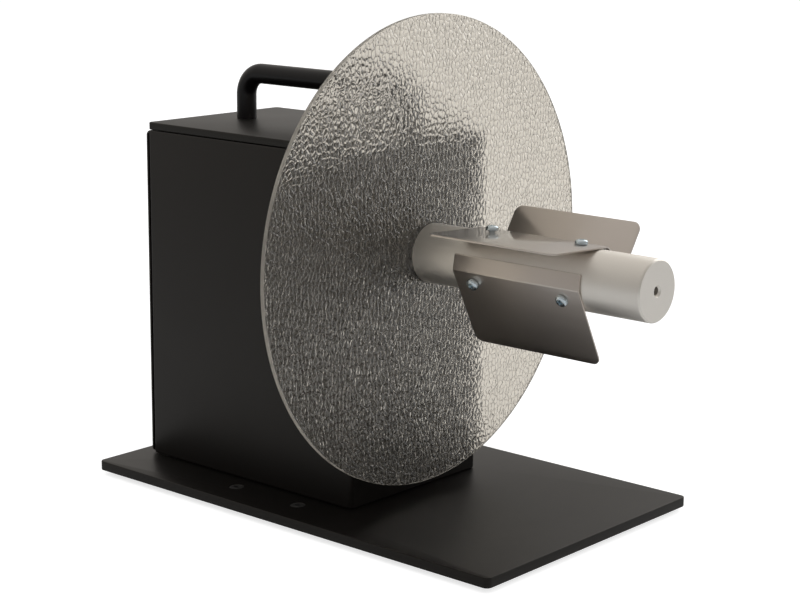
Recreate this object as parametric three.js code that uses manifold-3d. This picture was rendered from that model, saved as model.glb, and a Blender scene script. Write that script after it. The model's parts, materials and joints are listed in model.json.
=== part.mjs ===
// Manual label rewinder: a hand crank turns a horizontal spindle through a pair of spur gears.
// The spindle carries a clear side disc and a mandrel whose three sprung wings grip a roll's core.
// Millimetres, +Z up. The roll side faces -Y, and y = 0 is the front face of the housing while the
// pieces are drawn. The whole object is then moved so that its origin is under its middle.

import * as THREE from 'three';
import { mergeVertices } from 'three/addons/utils/BufferGeometryUtils.js';
import Module from 'manifold-3d';

const wasm = await Module();
wasm.setup();

// Fits
const SEAT = 0.3; // gap between two pieces that sit on each other
const SCREW_FIT = 0.4; // radial room of a screw in its hole
const RUN_FIT = 0.3; // radial room of a turning shaft
const EDGE = 0.8; // chamfer on the ends of turned pieces

// Base
const FOOT = { radius: 9, foot: 8, height: 3, inset: 22 };
const PLATE = { width: 206, length: 339, thickness: 6.4, corner: 6, edge: 0.5 };
const PLATE_PLACE = { right: 3.4, behindHousing: 11.7 }; // its middle stands right of the spindle
const ACCESSORY = { front: 32.5, pitch: 55.5, fromHousing: 15 }; // two flush screws beside the housing

// Housing
const SHELL = { width: 124, depth: 185.2, height: 223.6, sheet: 2, corner: 3, flange: 14, mouth: 13 };
const PANEL = { thickness: 1.5, inset: 0.5, corner: 3, shaftHole: 9, screwIn: 14 };
const TOP = { thickness: 5, inset: 1, corner: 2.5, edge: 0.6, screwFront: 14, screwRear: 14, bite: 3.7 };
const SHELL_SCREWS = { front: 34, rear: 34 }; // from either end of the housing
const HANDLE = { radius: 6.7, span: 141, rise: 31, bend: 15, forward: 10, boltDepth: 14 };

// Bearing frame
const FRAME = { thickness: 10, width: 88, above: 31, corner: 14, behindWall: 4, between: 100 };
const WINDOW = { width: 40, height: 42, above: 16, corner: 8 };
const SPACER = { radius: 6, across: 66, drop: 12 };
const FRAME_SCREWS = { across: 60, bite: 16 };
const BEARING = { radius: 16, width: 9, race: 2.2, shield: 0.5 };
const BUSH = { radius: 8, flangeRadius: 10.5, flange: 2 };

// Gears
const GEARS = { module: 1.5, pinionTeeth: 20, wheelTeeth: 40, pressure: 20, backlash: 0.3 };
const FLANK_STEPS = 2; // straight stretches along each side of a tooth
const PINION = { face: 12, hubRadius: 10, hub: 8 };
const WHEEL = { face: 10, hubRadius: 11, rim: 4.5, web: 5, holes: 6, holeRadius: 4 };

// Spindle
const SPINDLE = { height: 158.5, radius: 7.5, behindFrame: 4 };
const DISC = { radius: 150, thickness: 3, gap: 8.8, seat: 0.5, sides: 80 };
const HUB = { flangeRadius: 28, flange: 5, bossRadius: 9.4, spigotRadius: 10.2, screws: 3 };
const MANDREL = { radius: 19, length: 170.5, chamfer: 1, socket: 48 };
const CENTRE_HOLE = { radius: 2.45, depth: 14, mouth: 3.7 };
const HUB_SCREW_BITE = 14;

// Wings: the flap lies along a tangent of the mandrel and the short lip behind the bend lies on it too
const WING = {
  sheet: 1, length: 95, start: 34.5, flap: 48, bendBack: 6.5, lip: 10, bendRadius: 1, corner: 5.5,
};
const WINGS = 3;
const WING_ANGLE = 207; // the first wing's tangent point, seen from the roll side
const WING_SCREWS = { pitch: 67.5, offset: 1.3, bite: 8 };

// Crank
const CRANK = { offset: 20, radius: 6, throw: 75, behindPanel: 3, hubRadius: 12, hub: 12, bar: 6 };
const CRANK_ARM = { hubEnd: 13, gripEnd: 9.5, edge: 0.6 };
const GRIP = { length: 55, neck: 8.5, belly: 12, bellyAt: 36, end: 8, bore: 4.3, lead: 2, gap: 0.5 };
const PIN = { radius: 4, headRadius: 6.5, head: 2, rivet: 3 };

// Screws: head radius, head height and shank radius
const M4_PAN = { headRadius: 4, head: 2.8, shank: 2 };
const M4_FLAT = { headRadius: 4, head: 2.2, shank: 2 };
const M5_FLAT = { headRadius: 4.8, head: 2.6, shank: 2.5 };
const M6_BOLT = { headRadius: 5, head: 4, shank: 3 };
const THREAD_PAST = 4; // thread standing past the sheet that a screw holds
const END_ROOM = 2; // room left below a screw in its blind hole
const PAN_RIM = 0.7; // height of a pan head's straight side, as a share of the head
const PAN_CROWN = 0.8; // radius of its flat top, as a share of its radius

// Sides of a round piece, from the ones in full view to the hidden screws
const FINE = 36;
const ROUND = 18;
const SMALL = 12;
const TINY = 8;
const CUT = 1; // how far a cutting shape runs past the face it cuts
const MERGE = 1e-4; // corners this near each other are one corner

// Levels above the bench
const plateBottom = FOOT.height + SEAT;
const plateTop = plateBottom + PLATE.thickness;
const shellBottom = plateTop + SEAT;
const shellTop = shellBottom + SHELL.height;
const topBottom = shellTop + SEAT;
const topFace = topBottom + TOP.thickness;
const spindleZ = plateTop + SPINDLE.height;

// Stations along Y
const panelFront = SHELL.depth + SEAT;
const panelRear = panelFront + PANEL.thickness;
const plateRear = panelRear + PLATE_PLACE.behindHousing;
const plateFront = plateRear - PLATE.length;
const frameFront = SHELL.sheet + FRAME.behindWall;
const frameRear = frameFront + FRAME.thickness + FRAME.between;
const discBack = -DISC.gap;
const discFront = discBack - DISC.thickness;
const hubFront = discBack + SEAT;
const hubBack = hubFront + HUB.flange;
const seatFloor = discFront + DISC.seat; // a shallow turned seat in the disc takes the mandrel's end
const mandrelRoot = seatFloor - SEAT;
const mandrelTip = mandrelRoot - MANDREL.length;
const wingRoot = discFront - WING.start;
const bearingInset = (FRAME.thickness - BEARING.width) / 2;
const pinionHubEnd = frameRear + bearingInset - SEAT;
const pinionBack = pinionHubEnd - PINION.hub;
const pinionFront = pinionBack - PINION.face;
const wheelFront = pinionFront + (PINION.face - WHEEL.face) / 2;
const wheelBack = wheelFront + WHEEL.face;
const wheelHubEnd = frameRear - SEAT - BUSH.flange - SEAT;
const armHubFront = panelRear + CRANK.behindPanel;
const armBack = armHubFront + CRANK.hub;
const armFront = armBack - CRANK.bar;
const gripFront = armBack + GRIP.gap;
const gripBack = gripFront + GRIP.length;
const pinHeadFront = gripBack + GRIP.gap;
const pinEnd = pinHeadFront + PIN.head;

// Gear centres
const centreDistance = (GEARS.module * (GEARS.pinionTeeth + GEARS.wheelTeeth)) / 2;
const crankX = CRANK.offset;
const crankDrop = Math.sqrt(centreDistance ** 2 - crankX ** 2);
const crankZ = spindleZ - crankDrop;
const meshAngle = Math.atan2(-crankDrop, crankX); // from the spindle towards the crank shaft

const FINISHES = {
  blackPaint: { color: 0x1d1c1b, roughness: 0.62, metalness: 0.0 },
  blackPlate: { color: 0x232120, roughness: 0.7, metalness: 0.0 },
  blackGrip: { color: 0x161515, roughness: 0.45, metalness: 0.0 },
  rubber: { color: 0x101010, roughness: 0.9, metalness: 0.0 },
  turnedAluminium: { color: 0xb9b2a8, roughness: 0.38, metalness: 1.0 },
  plainAluminium: { color: 0xa9a8a5, roughness: 0.5, metalness: 1.0 },
  stainless: { color: 0xa8a098, roughness: 0.3, metalness: 1.0 },
  steel: { color: 0x8d8d8f, roughness: 0.4, metalness: 1.0 },
  zinc: { color: 0x9fa8ab, roughness: 0.35, metalness: 1.0 },
  bronze: { color: 0x9a7038, roughness: 0.45, metalness: 1.0 },
  clearAcrylic: { color: 0xd8d4c8, roughness: 0.25, metalness: 0.0, transparent: true, opacity: 0.45 },
};

const materials = Object.fromEntries(
  Object.entries(FINISHES).map(([name, look]) => [name, new THREE.MeshStandardMaterial(look)]),
);

// Turns a closed geometry into a solid: shared corners merged, no folded faces, faces turned out.
function solidOf(geometry) {
  geometry.deleteAttribute('normal');
  geometry.deleteAttribute('uv');
  const merged = mergeVertices(geometry, MERGE);
  const corners = merged.attributes.position.array;
  const faces = [];
  for (let i = 0; i < merged.index.count; i += 3) {
    const [a, b, c] = merged.index.array.subarray(i, i + 3);
    if (a !== b && b !== c && c !== a) faces.push(a, b, c);
  }
  if (signedVolume(corners, faces) < 0) faces.reverse();
  return new wasm.Manifold(new wasm.Mesh({
    numProp: 3,
    vertProperties: Float32Array.from(corners),
    triVerts: Uint32Array.from(faces),
  }));
}

function signedVolume(corners, faces) {
  const [a, b, c] = [new THREE.Vector3(), new THREE.Vector3(), new THREE.Vector3()];
  let sum = 0;
  for (let i = 0; i < faces.length; i += 3) {
    a.fromArray(corners, faces[i] * 3);
    b.fromArray(corners, faces[i + 1] * 3);
    c.fromArray(corners, faces[i + 2] * 3);
    sum += a.dot(b.cross(c));
  }
  return sum / 6;
}

function geometryOf(solid) {
  const { vertProperties, triVerts } = solid.getMesh();
  const geometry = new THREE.BufferGeometry();
  geometry.setAttribute('position', new THREE.BufferAttribute(vertProperties, 3));
  geometry.setIndex(new THREE.BufferAttribute(triVerts, 1));
  geometry.computeVertexNormals();
  return geometry;
}

function cut(solid, ...tools) {
  return tools.reduce((left, tool) => left.subtract(tool), solid);
}

function join(solid, ...others) {
  return others.reduce((whole, other) => whole.add(other), solid);
}

// A body of revolution about Y from [radius, y] points that start and end on the axis or close up.
function turned(points, sides = FINE) {
  return new THREE.LatheGeometry(points.map(([radius, y]) => new THREE.Vector2(radius, y)), sides);
}

// A ring about Y, closed on itself.
function ring(inner, outer, from, to, sides = FINE) {
  return turned([[inner, from], [outer, from], [outer, to], [inner, to], [inner, from]], sides);
}

// A round bar about Y between two stations.
function bar(radius, from, to, sides = FINE) {
  return turned([[0, from], [radius, from], [radius, to], [0, to]], sides);
}

function chamferedBar(radius, from, to) {
  const end = radius - EDGE;
  const side = [[radius, from + EDGE], [radius, to - EDGE]];
  return turned([[0, from], [end, from], ...side, [end, to], [0, to]], ROUND);
}

// Stands a shape drawn along +Y up along +Z.
function upright(geometry) {
  return geometry.rotateX(Math.PI / 2);
}

function box(x0, x1, y0, y1, z0, z1) {
  return new THREE.BoxGeometry(x1 - x0, y1 - y0, z1 - z0)
    .translate((x0 + x1) / 2, (y0 + y1) / 2, (z0 + z1) / 2);
}

function roundedRectangle(width, height, corner, x = 0, y = 0) {
  const [right, top] = [x + width / 2, y + height / 2];
  const [left, bottom] = [x - width / 2, y - height / 2];
  const shape = new THREE.Shape();
  shape.absarc(right - corner, bottom + corner, corner, -Math.PI / 2, 0);
  shape.absarc(right - corner, top - corner, corner, 0, Math.PI / 2);
  shape.absarc(left + corner, top - corner, corner, Math.PI / 2, Math.PI);
  shape.absarc(left + corner, bottom + corner, corner, Math.PI, Math.PI * 1.5);
  shape.closePath();
  return shape;
}

// A flat piece of the drawn outline, thickness along +Z, with its long edges broken if edge is given.
function slab(shape, thickness, { edge = 0, sides = 3 } = {}) {
  if (edge === 0) {
    return new THREE.ExtrudeGeometry(shape, { depth: thickness, bevelEnabled: false, curveSegments: sides });
  }
  const bevel = { bevelSize: edge, bevelThickness: edge, bevelOffset: -edge, bevelSegments: 1 };
  return new THREE.ExtrudeGeometry(shape, { depth: thickness - 2 * edge, curveSegments: sides, ...bevel })
    .translate(0, 0, edge);
}

// The same, standing across the spindle: drawn in X and Z, thickness running from one station to another.
function crossSlab(shape, from, to, options) {
  return slab(shape, to - from, options).rotateX(Math.PI / 2).translate(0, to, 0);
}

// Screws are drawn along Y with the underside of the head at y = 0 and the shank going down.
function panScrew({ headRadius, head, shank }, length, sides = TINY) {
  return turned([
    [0, -length], [shank, -length], [shank, 0], [headRadius, 0],
    [headRadius, head * PAN_RIM], [headRadius * PAN_CROWN, head], [0, head],
  ], sides);
}

// A flat head screw has the top of its head at y = 0.
function flatScrew({ headRadius, head, shank }, length, sides = TINY) {
  return turned([[0, -length], [shank, -length], [shank, -head], [headRadius, 0], [0, 0]], sides);
}

function flatScrewHole({ headRadius, head, shank }, length, sides = TINY) {
  return turned([
    [0, -length], [shank + SCREW_FIT, -length], [shank + SCREW_FIT, -head],
    [headRadius + SCREW_FIT, 0], [headRadius + SCREW_FIT, CUT], [0, CUT],
  ], sides);
}

// Positions shared by the pieces that each screw joins
const footPlaces = [-1, 1].flatMap((x) => [plateFront + FOOT.inset, plateRear - FOOT.inset]
  .map((y) => [PLATE_PLACE.right + x * (PLATE.width / 2 - FOOT.inset), y]));
const accessoryPlaces = [0, 1].map((i) => [
  -SHELL.width / 2 - ACCESSORY.fromHousing, ACCESSORY.front + i * ACCESSORY.pitch,
]);
const flangeX = SHELL.width / 2 - SHELL.sheet - SHELL.flange / 2;
const housingScrewPlaces = [-1, 1].flatMap((x) => [SHELL_SCREWS.front, SHELL.depth - SHELL_SCREWS.rear]
  .map((y) => [x * flangeX, y]));
const topScrewPlaces = [-1, 1].flatMap((x) => [TOP.screwFront, SHELL.depth - TOP.screwRear]
  .map((y) => [x * flangeX, y]));
const panelScrewPlaces = [-1, 1].flatMap((x) => [shellBottom + PANEL.screwIn, shellTop - PANEL.screwIn]
  .map((z) => [x * flangeX, z]));
const frameScrewPlaces = [frameFront, frameRear].flatMap((y) => [-1, 1]
  .map((x) => [(x * FRAME_SCREWS.across) / 2, y + FRAME.thickness / 2]));
const handleMiddle = panelRear / 2 - HANDLE.forward;
const handlePlaces = [handleMiddle - HANDLE.span / 2, handleMiddle + HANDLE.span / 2];
const spacerPlaces = [-1, 1].map((x) => [(x * SPACER.across) / 2, spindleZ + FRAME.above - SPACER.drop]);

const housingScrewLength = PLATE.thickness + SEAT + SHELL.sheet + THREAD_PAST;
const frameScrewLength = PLATE.thickness + SEAT + FRAME_SCREWS.bite;
const topScrewLength = SHELL.sheet + SEAT + TOP.bite;
const handleBoltLength = TOP.thickness + SEAT + HANDLE.boltDepth - END_ROOM;
const panelScrewLength = PANEL.thickness + SEAT + SHELL.sheet + THREAD_PAST;

// Base

function basePlate() {
  const middle = [PLATE_PLACE.right, (plateFront + plateRear) / 2];
  const outline = roundedRectangle(PLATE.width, PLATE.length, PLATE.corner, ...middle);
  const sheet = solidOf(slab(outline, PLATE.thickness, { edge: PLATE.edge }).translate(0, 0, plateBottom));
  const fromAbove = accessoryPlaces.map(([x, y]) => (
    solidOf(upright(flatScrewHole(M5_FLAT, PLATE.thickness + CUT, SMALL)).translate(x, y, plateTop))));
  const holeFromBelow = (screw) => ([x, y]) => {
    const hole = flatScrewHole(screw, PLATE.thickness + CUT).rotateX(Math.PI);
    return solidOf(upright(hole).translate(x, y, plateBottom));
  };
  const forHousing = housingScrewPlaces.map(holeFromBelow(M4_FLAT));
  const forFrame = frameScrewPlaces.map(holeFromBelow(M5_FLAT));
  return cut(sheet, ...fromAbove, ...forHousing, ...forFrame);
}

function foot() {
  const side = [[FOOT.foot, 0], [FOOT.radius, FOOT.height]];
  return solidOf(upright(turned([[0, 0], ...side, [0, FOOT.height]], ROUND)));
}

// Housing

function housingShell() {
  const { width, depth, height, sheet, corner, flange } = SHELL;
  const block = slab(roundedRectangle(width, depth, corner, 0, depth / 2), height)
    .translate(0, 0, shellBottom);
  const inside = roundedRectangle(width - 2 * sheet, depth - 2 * sheet, corner - sheet, 0, depth / 2);
  const hollow = slab(inside, height - 2 * sheet).translate(0, 0, shellBottom + sheet);
  const reach = width / 2 - sheet - flange;
  const opening = box(-reach, reach, sheet + flange, depth + CUT, shellBottom - CUT, shellTop + CUT);
  const behindFlange = sheet + flange + CUT;
  const frameNotch = box(-reach, reach, sheet, behindFlange, shellBottom - CUT, shellBottom + sheet + CUT);
  const mouth = bar(SHELL.mouth, -CUT, sheet + CUT, ROUND).translate(0, 0, spindleZ);
  const hole = M4_PAN.shank + SCREW_FIT;
  const upHoles = [[housingScrewPlaces, shellBottom], [topScrewPlaces, shellTop - sheet]]
    .flatMap(([places, z]) => places.map(([x, y]) => (
      upright(bar(hole, -CUT, sheet + CUT, TINY)).translate(x, y, z))));
  const rearHoles = panelScrewPlaces.map(([x, z]) => (
    bar(hole, depth - sheet - CUT, depth + CUT, TINY).translate(x, 0, z)));
  const boltNotches = handlePlaces.map((y) => (
    upright(bar(M6_BOLT.headRadius + 1, -CUT, sheet + CUT, SMALL)).translate(0, y, shellTop - sheet)));
  const cuts = [hollow, opening, frameNotch, mouth, ...upHoles, ...rearHoles, ...boltNotches];
  return cut(solidOf(block), ...cuts.map(solidOf));
}

function rearPanel() {
  const [width, height] = [SHELL.width - 2 * PANEL.inset, SHELL.height - 2 * PANEL.inset];
  const middle = (shellBottom + shellTop) / 2;
  const sheet = crossSlab(roundedRectangle(width, height, PANEL.corner, 0, middle), panelFront, panelRear);
  const through = (radius, sides) => bar(radius, panelFront - CUT, panelRear + CUT, sides);
  const shaftHole = through(PANEL.shaftHole, ROUND).translate(crankX, 0, crankZ);
  const holes = panelScrewPlaces.map(([x, z]) => through(M4_PAN.shank + SCREW_FIT, TINY).translate(x, 0, z));
  return cut(solidOf(sheet), ...[shaftHole, ...holes].map(solidOf));
}

function topPlate() {
  const [width, depth] = [SHELL.width - 2 * TOP.inset, panelRear - 2 * TOP.inset];
  const outline = roundedRectangle(width, depth, TOP.corner, 0, panelRear / 2);
  const lid = slab(outline, TOP.thickness, { edge: TOP.edge }).translate(0, 0, topBottom);
  const tapped = topScrewPlaces.map(([x, y]) => (
    upright(bar(M4_PAN.shank + SCREW_FIT, -CUT, TOP.bite + SCREW_FIT, TINY)).translate(x, y, topBottom)));
  const through = handlePlaces.map((y) => (
    upright(bar(M6_BOLT.shank + SCREW_FIT, -CUT, TOP.thickness + CUT, TINY)).translate(0, y, topBottom)));
  return cut(solidOf(lid), ...[...tapped, ...through].map(solidOf));
}

// The handle's centre line: leg, bend, bar, bend, leg. One step of t covers each straight
// stretch and BEND_STEPS of them each bend, so the rings sit where the bar turns.
const BEND_STEPS = 6;
const HANDLE_STEPS = 2 * BEND_STEPS + 3;

class HandleLine extends THREE.Curve {
  constructor(span, rise, bend) {
    super();
    this.stations = [new THREE.Vector3(0, -span / 2, 0)];
    for (let i = 0; i <= BEND_STEPS; i += 1) {
      const a = (i / BEND_STEPS) * (Math.PI / 2);
      const y = -span / 2 + bend * (1 - Math.cos(a));
      this.stations.push(new THREE.Vector3(0, y, rise - bend + bend * Math.sin(a)));
    }
    const mirrored = this.stations.map((p) => new THREE.Vector3(0, -p.y, p.z)).reverse();
    this.stations.push(...mirrored);
  }

  getUtoTmapping(u) {
    return u;
  }

  getPoint(t, target = new THREE.Vector3()) {
    const along = Math.min(Math.max(t, 0), 1) * (this.stations.length - 1);
    const i = Math.min(Math.floor(along), this.stations.length - 2);
    return target.lerpVectors(this.stations[i], this.stations[i + 1], along - i);
  }

  getTangent(t, target = new THREE.Vector3()) {
    const i = Math.round(t * (this.stations.length - 1));
    const before = this.stations[Math.max(i - 1, 0)];
    const after = this.stations[Math.min(i + 1, this.stations.length - 1)];
    const here = this.stations[i];
    const arriving = i === 0 ? after.clone().sub(here) : here.clone().sub(before);
    const leaving = i === this.stations.length - 1 ? arriving : after.clone().sub(here);
    return target.copy(arriving.normalize()).add(leaving.normalize()).normalize();
  }
}

function carryHandle() {
  const section = new THREE.Shape().absarc(0, 0, HANDLE.radius, 0, 2 * Math.PI);
  const line = new HandleLine(HANDLE.span, HANDLE.rise, HANDLE.bend);
  const sweep = { steps: HANDLE_STEPS, extrudePath: line, curveSegments: 8 };
  const boltHole = (side) => upright(bar(M6_BOLT.shank + SCREW_FIT, -CUT, HANDLE.boltDepth, TINY))
    .translate(0, (side * HANDLE.span) / 2, 0);
  return cut(solidOf(new THREE.ExtrudeGeometry(section, sweep)), ...[-1, 1].map(boltHole).map(solidOf));
}

// Bearing frame

function framePlate() {
  const [bottom, top] = [shellBottom, spindleZ + FRAME.above];
  const { thickness, width, corner } = FRAME;
  const half = width / 2;
  const outline = new THREE.Shape();
  outline.moveTo(-half, bottom);
  outline.lineTo(half, bottom);
  outline.absarc(half - corner, top - corner, corner, 0, Math.PI / 2);
  outline.absarc(-half + corner, top - corner, corner, Math.PI / 2, Math.PI);
  outline.closePath();
  const windowZ = bottom + WINDOW.above + WINDOW.height / 2;
  const window = roundedRectangle(WINDOW.width, WINDOW.height, WINDOW.corner, 0, windowZ);
  const bearingSeat = bar(BEARING.radius + SEAT, -CUT, thickness + CUT, ROUND).translate(0, 0, spindleZ);
  const bushSeat = bar(BUSH.radius + SEAT, -CUT, thickness + CUT, ROUND).translate(crankX, 0, crankZ);
  const spacerSeats = spacerPlaces.map(([x, z]) => (
    bar(M5_FLAT.shank + SCREW_FIT, -CUT, thickness + CUT, TINY).translate(x, 0, z)));
  const screwHoles = [-1, 1].map((x) => (
    upright(bar(M5_FLAT.shank + SCREW_FIT, -CUT, frameScrewLength - PLATE.thickness + SCREW_FIT, TINY))
      .translate((x * FRAME_SCREWS.across) / 2, thickness / 2, bottom)));
  const windowCut = crossSlab(window, -CUT, thickness + CUT);
  const cuts = [windowCut, bearingSeat, bushSeat, ...spacerSeats, ...screwHoles];
  return cut(solidOf(crossSlab(outline, 0, thickness, { sides: 5 })), ...cuts.map(solidOf));
}

// A rod between the two plates, with a stub at each end that fills the plate's hole.
function frameSpacer() {
  const from = frameFront + FRAME.thickness + SEAT;
  const to = frameRear - SEAT;
  const stub = M5_FLAT.shank;
  const reach = FRAME.thickness - CUT;
  return solidOf(turned([
    [0, from - reach], [stub, from - reach], [stub, from], [SPACER.radius, from],
    [SPACER.radius, to], [stub, to], [stub, to + reach], [0, to + reach],
  ], SMALL));
}

function spindleBearing() {
  const { radius, width, race, shield } = BEARING;
  const inner = SPINDLE.radius + RUN_FIT;
  return solidOf(turned([
    [inner, 0], [inner + race, 0], [inner + race, shield], [radius - race, shield], [radius - race, 0],
    [radius, 0], [radius, width], [radius - race, width], [radius - race, width - shield],
    [inner + race, width - shield], [inner + race, width], [inner, width], [inner, 0],
  ], ROUND));
}

// The flange lies on the inner face of its plate, at y = 0, and the bush goes through along +Y.
function crankBush() {
  const inner = CRANK.radius + RUN_FIT;
  return solidOf(turned([
    [inner, -BUSH.flange], [BUSH.flangeRadius, -BUSH.flange], [BUSH.flangeRadius, 0], [BUSH.radius, 0],
    [BUSH.radius, FRAME.thickness], [inner, FRAME.thickness], [inner, -BUSH.flange],
  ], ROUND));
}

// Gears

// Outline of a spur gear with involute flanks. One tooth is centred on the angle phase.
function gearOutline(teeth, phase, bore) {
  const pitchRadius = (GEARS.module * teeth) / 2;
  const pressure = THREE.MathUtils.degToRad(GEARS.pressure);
  const baseRadius = pitchRadius * Math.cos(pressure);
  const tipRadius = pitchRadius + GEARS.module;
  const rootRadius = pitchRadius - 1.25 * GEARS.module;
  const involute = (angle) => Math.tan(angle) - angle;
  const halfTooth = Math.PI / (2 * teeth) - GEARS.backlash / (4 * pitchRadius) + involute(pressure);
  const flankStart = Math.max(baseRadius, rootRadius);
  const flank = Array.from({ length: FLANK_STEPS + 1 }, (_, i) => {
    const radius = flankStart + ((tipRadius - flankStart) * i) / FLANK_STEPS;
    return [radius, halfTooth - involute(Math.acos(Math.min(baseRadius / radius, 1)))];
  });
  const rising = baseRadius > rootRadius + GEARS.backlash ? [[rootRadius, flank[0][1]], ...flank] : flank;
  const outline = [];
  for (let tooth = 0; tooth < teeth; tooth += 1) {
    const middle = phase + (tooth * 2 * Math.PI) / teeth;
    const at = ([radius, angle]) => new THREE.Vector2(radius * Math.cos(angle), radius * Math.sin(angle));
    rising.forEach(([radius, half]) => outline.push(at([radius, middle - half])));
    [...rising].reverse().forEach(([radius, half]) => outline.push(at([radius, middle + half])));
  }
  const shape = new THREE.Shape(outline);
  shape.holes.push(new THREE.Path().absarc(0, 0, bore, 0, 2 * Math.PI));
  return shape;
}

function spindleGear() {
  const bore = SPINDLE.radius + SEAT;
  const phase = meshAngle + Math.PI / GEARS.pinionTeeth;
  const outline = gearOutline(GEARS.pinionTeeth, phase, bore);
  const teeth = crossSlab(outline, pinionFront, pinionBack, { sides: ROUND / 2 });
  const hub = ring(bore, PINION.hubRadius, pinionBack - CUT, pinionHubEnd, ROUND);
  return join(solidOf(teeth), solidOf(hub));
}

function crankGear() {
  const bore = CRANK.radius + SEAT;
  const rootRadius = (GEARS.module * GEARS.wheelTeeth) / 2 - 1.25 * GEARS.module;
  const phase = meshAngle + Math.PI;
  const outline = gearOutline(GEARS.wheelTeeth, phase, bore);
  const blank = crossSlab(outline, wheelFront, wheelBack, { sides: ROUND / 2 });
  const recess = (WHEEL.face - WHEEL.web) / 2;
  const rimInside = rootRadius - WHEEL.rim;
  const frontRecess = ring(WHEEL.hubRadius, rimInside, wheelFront - CUT, wheelFront + recess, ROUND);
  const backRecess = ring(WHEEL.hubRadius, rimInside, wheelBack - recess, wheelBack + CUT, ROUND);
  const holeCircle = (WHEEL.hubRadius + rimInside) / 2;
  const holes = Array.from({ length: WHEEL.holes }, (_, i) => (
    bar(WHEEL.holeRadius, wheelFront - CUT, wheelBack + CUT, SMALL).translate(holeCircle, 0, 0)
      .rotateY((i * 2 * Math.PI) / WHEEL.holes)));
  const hub = ring(bore, WHEEL.hubRadius, wheelBack - recess - CUT, wheelHubEnd, ROUND);
  return join(cut(solidOf(blank), ...[frontRecess, backRecess, ...holes].map(solidOf)), solidOf(hub));
}

// Spindle

const hubScrewCircle = (HUB.spigotRadius + MANDREL.radius) / 2;
const hubScrewAngles = Array.from({ length: HUB.screws }, (_, i) => (i * 2 * Math.PI) / HUB.screws);

function aroundSpindle(geometry, radius, angle) {
  return geometry.translate(radius, 0, 0).rotateY(-angle);
}

function spindleShaft() {
  const from = mandrelRoot - MANDREL.socket + SEAT;
  const to = frameRear + FRAME.thickness + SPINDLE.behindFrame;
  return solidOf(chamferedBar(SPINDLE.radius, from, to));
}

function discHub() {
  const bore = SPINDLE.radius + SEAT;
  const bossEnd = frameFront + bearingInset - SEAT;
  const spigotEnd = seatFloor;
  const body = turned([
    [bore, spigotEnd], [HUB.spigotRadius, spigotEnd], [HUB.spigotRadius, hubFront],
    [HUB.flangeRadius, hubFront], [HUB.flangeRadius, hubBack - EDGE], [HUB.flangeRadius - EDGE, hubBack],
    [HUB.bossRadius, hubBack], [HUB.bossRadius, bossEnd], [bore, bossEnd], [bore, spigotEnd],
  ], ROUND);
  const holes = hubScrewAngles.map((angle) => aroundSpindle(
    flatScrewHole(M4_FLAT, HUB.flange + CUT).translate(0, hubBack, 0), hubScrewCircle, angle));
  return cut(solidOf(body), ...holes.map(solidOf));
}

function flangeDisc() {
  const bore = HUB.spigotRadius + SEAT;
  const sheet = solidOf(ring(bore, DISC.radius, discFront, discBack, DISC.sides));
  const seat = bar(MANDREL.radius + 2 * SEAT, discFront - CUT, seatFloor, FINE);
  const holes = hubScrewAngles.map((angle) => aroundSpindle(
    bar(M4_FLAT.shank + SCREW_FIT, discFront - CUT, discBack + CUT, TINY), hubScrewCircle, angle));
  return cut(sheet, ...[seat, ...holes].map(solidOf));
}

function mandrel() {
  const { radius, chamfer, socket } = MANDREL;
  const socketRadius = SPINDLE.radius + SEAT;
  const { radius: hole, depth, mouth } = CENTRE_HOLE;
  const body = turned([
    [0, mandrelTip + depth], [hole, mandrelTip + depth],
    [hole, mandrelTip + mouth - hole], [mouth, mandrelTip],
    [radius - chamfer, mandrelTip], [radius, mandrelTip + chamfer], [radius, mandrelRoot],
    [socketRadius, mandrelRoot], [socketRadius, mandrelRoot - socket], [0, mandrelRoot - socket],
  ], FINE);
  const hubTaps = hubScrewAngles.map((angle) => aroundSpindle(
    bar(M4_FLAT.shank + SCREW_FIT, mandrelRoot - HUB_SCREW_BITE - SCREW_FIT, mandrelRoot + CUT, TINY),
    hubScrewCircle, angle));
  const wingTaps = wingAngles.flatMap((angle) => wingScrewStations.map((y) => (
    wingScrewHole(WING_SCREWS.bite + SCREW_FIT).translate(0, y, 0).rotateY(-angle))));
  return cut(solidOf(body), ...[...hubTaps, ...wingTaps].map(solidOf));
}

// Wings. Each is drawn with the tangent point of its flap on +X, and is then turned to its place.

const wingAngles = Array.from({ length: WINGS }, (_, i) => (
  THREE.MathUtils.degToRad(WING_ANGLE) - (i * 2 * Math.PI) / WINGS));
const wingInner = MANDREL.radius + SEAT; // the sheet's inner face stands this far from the axis
const wingOuter = wingInner + WING.sheet;
const wingScrewStations = [-1, 1].map((side) => wingRoot - (WING.length + side * WING_SCREWS.pitch) / 2);

// A round tool along X that reaches a given depth below the mandrel's surface.
function wingScrewHole(depth) {
  return bar(M4_PAN.shank + SCREW_FIT, MANDREL.radius - depth, wingOuter + CUT, TINY)
    .rotateZ(-Math.PI / 2).translate(0, 0, WING_SCREWS.offset);
}

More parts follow.
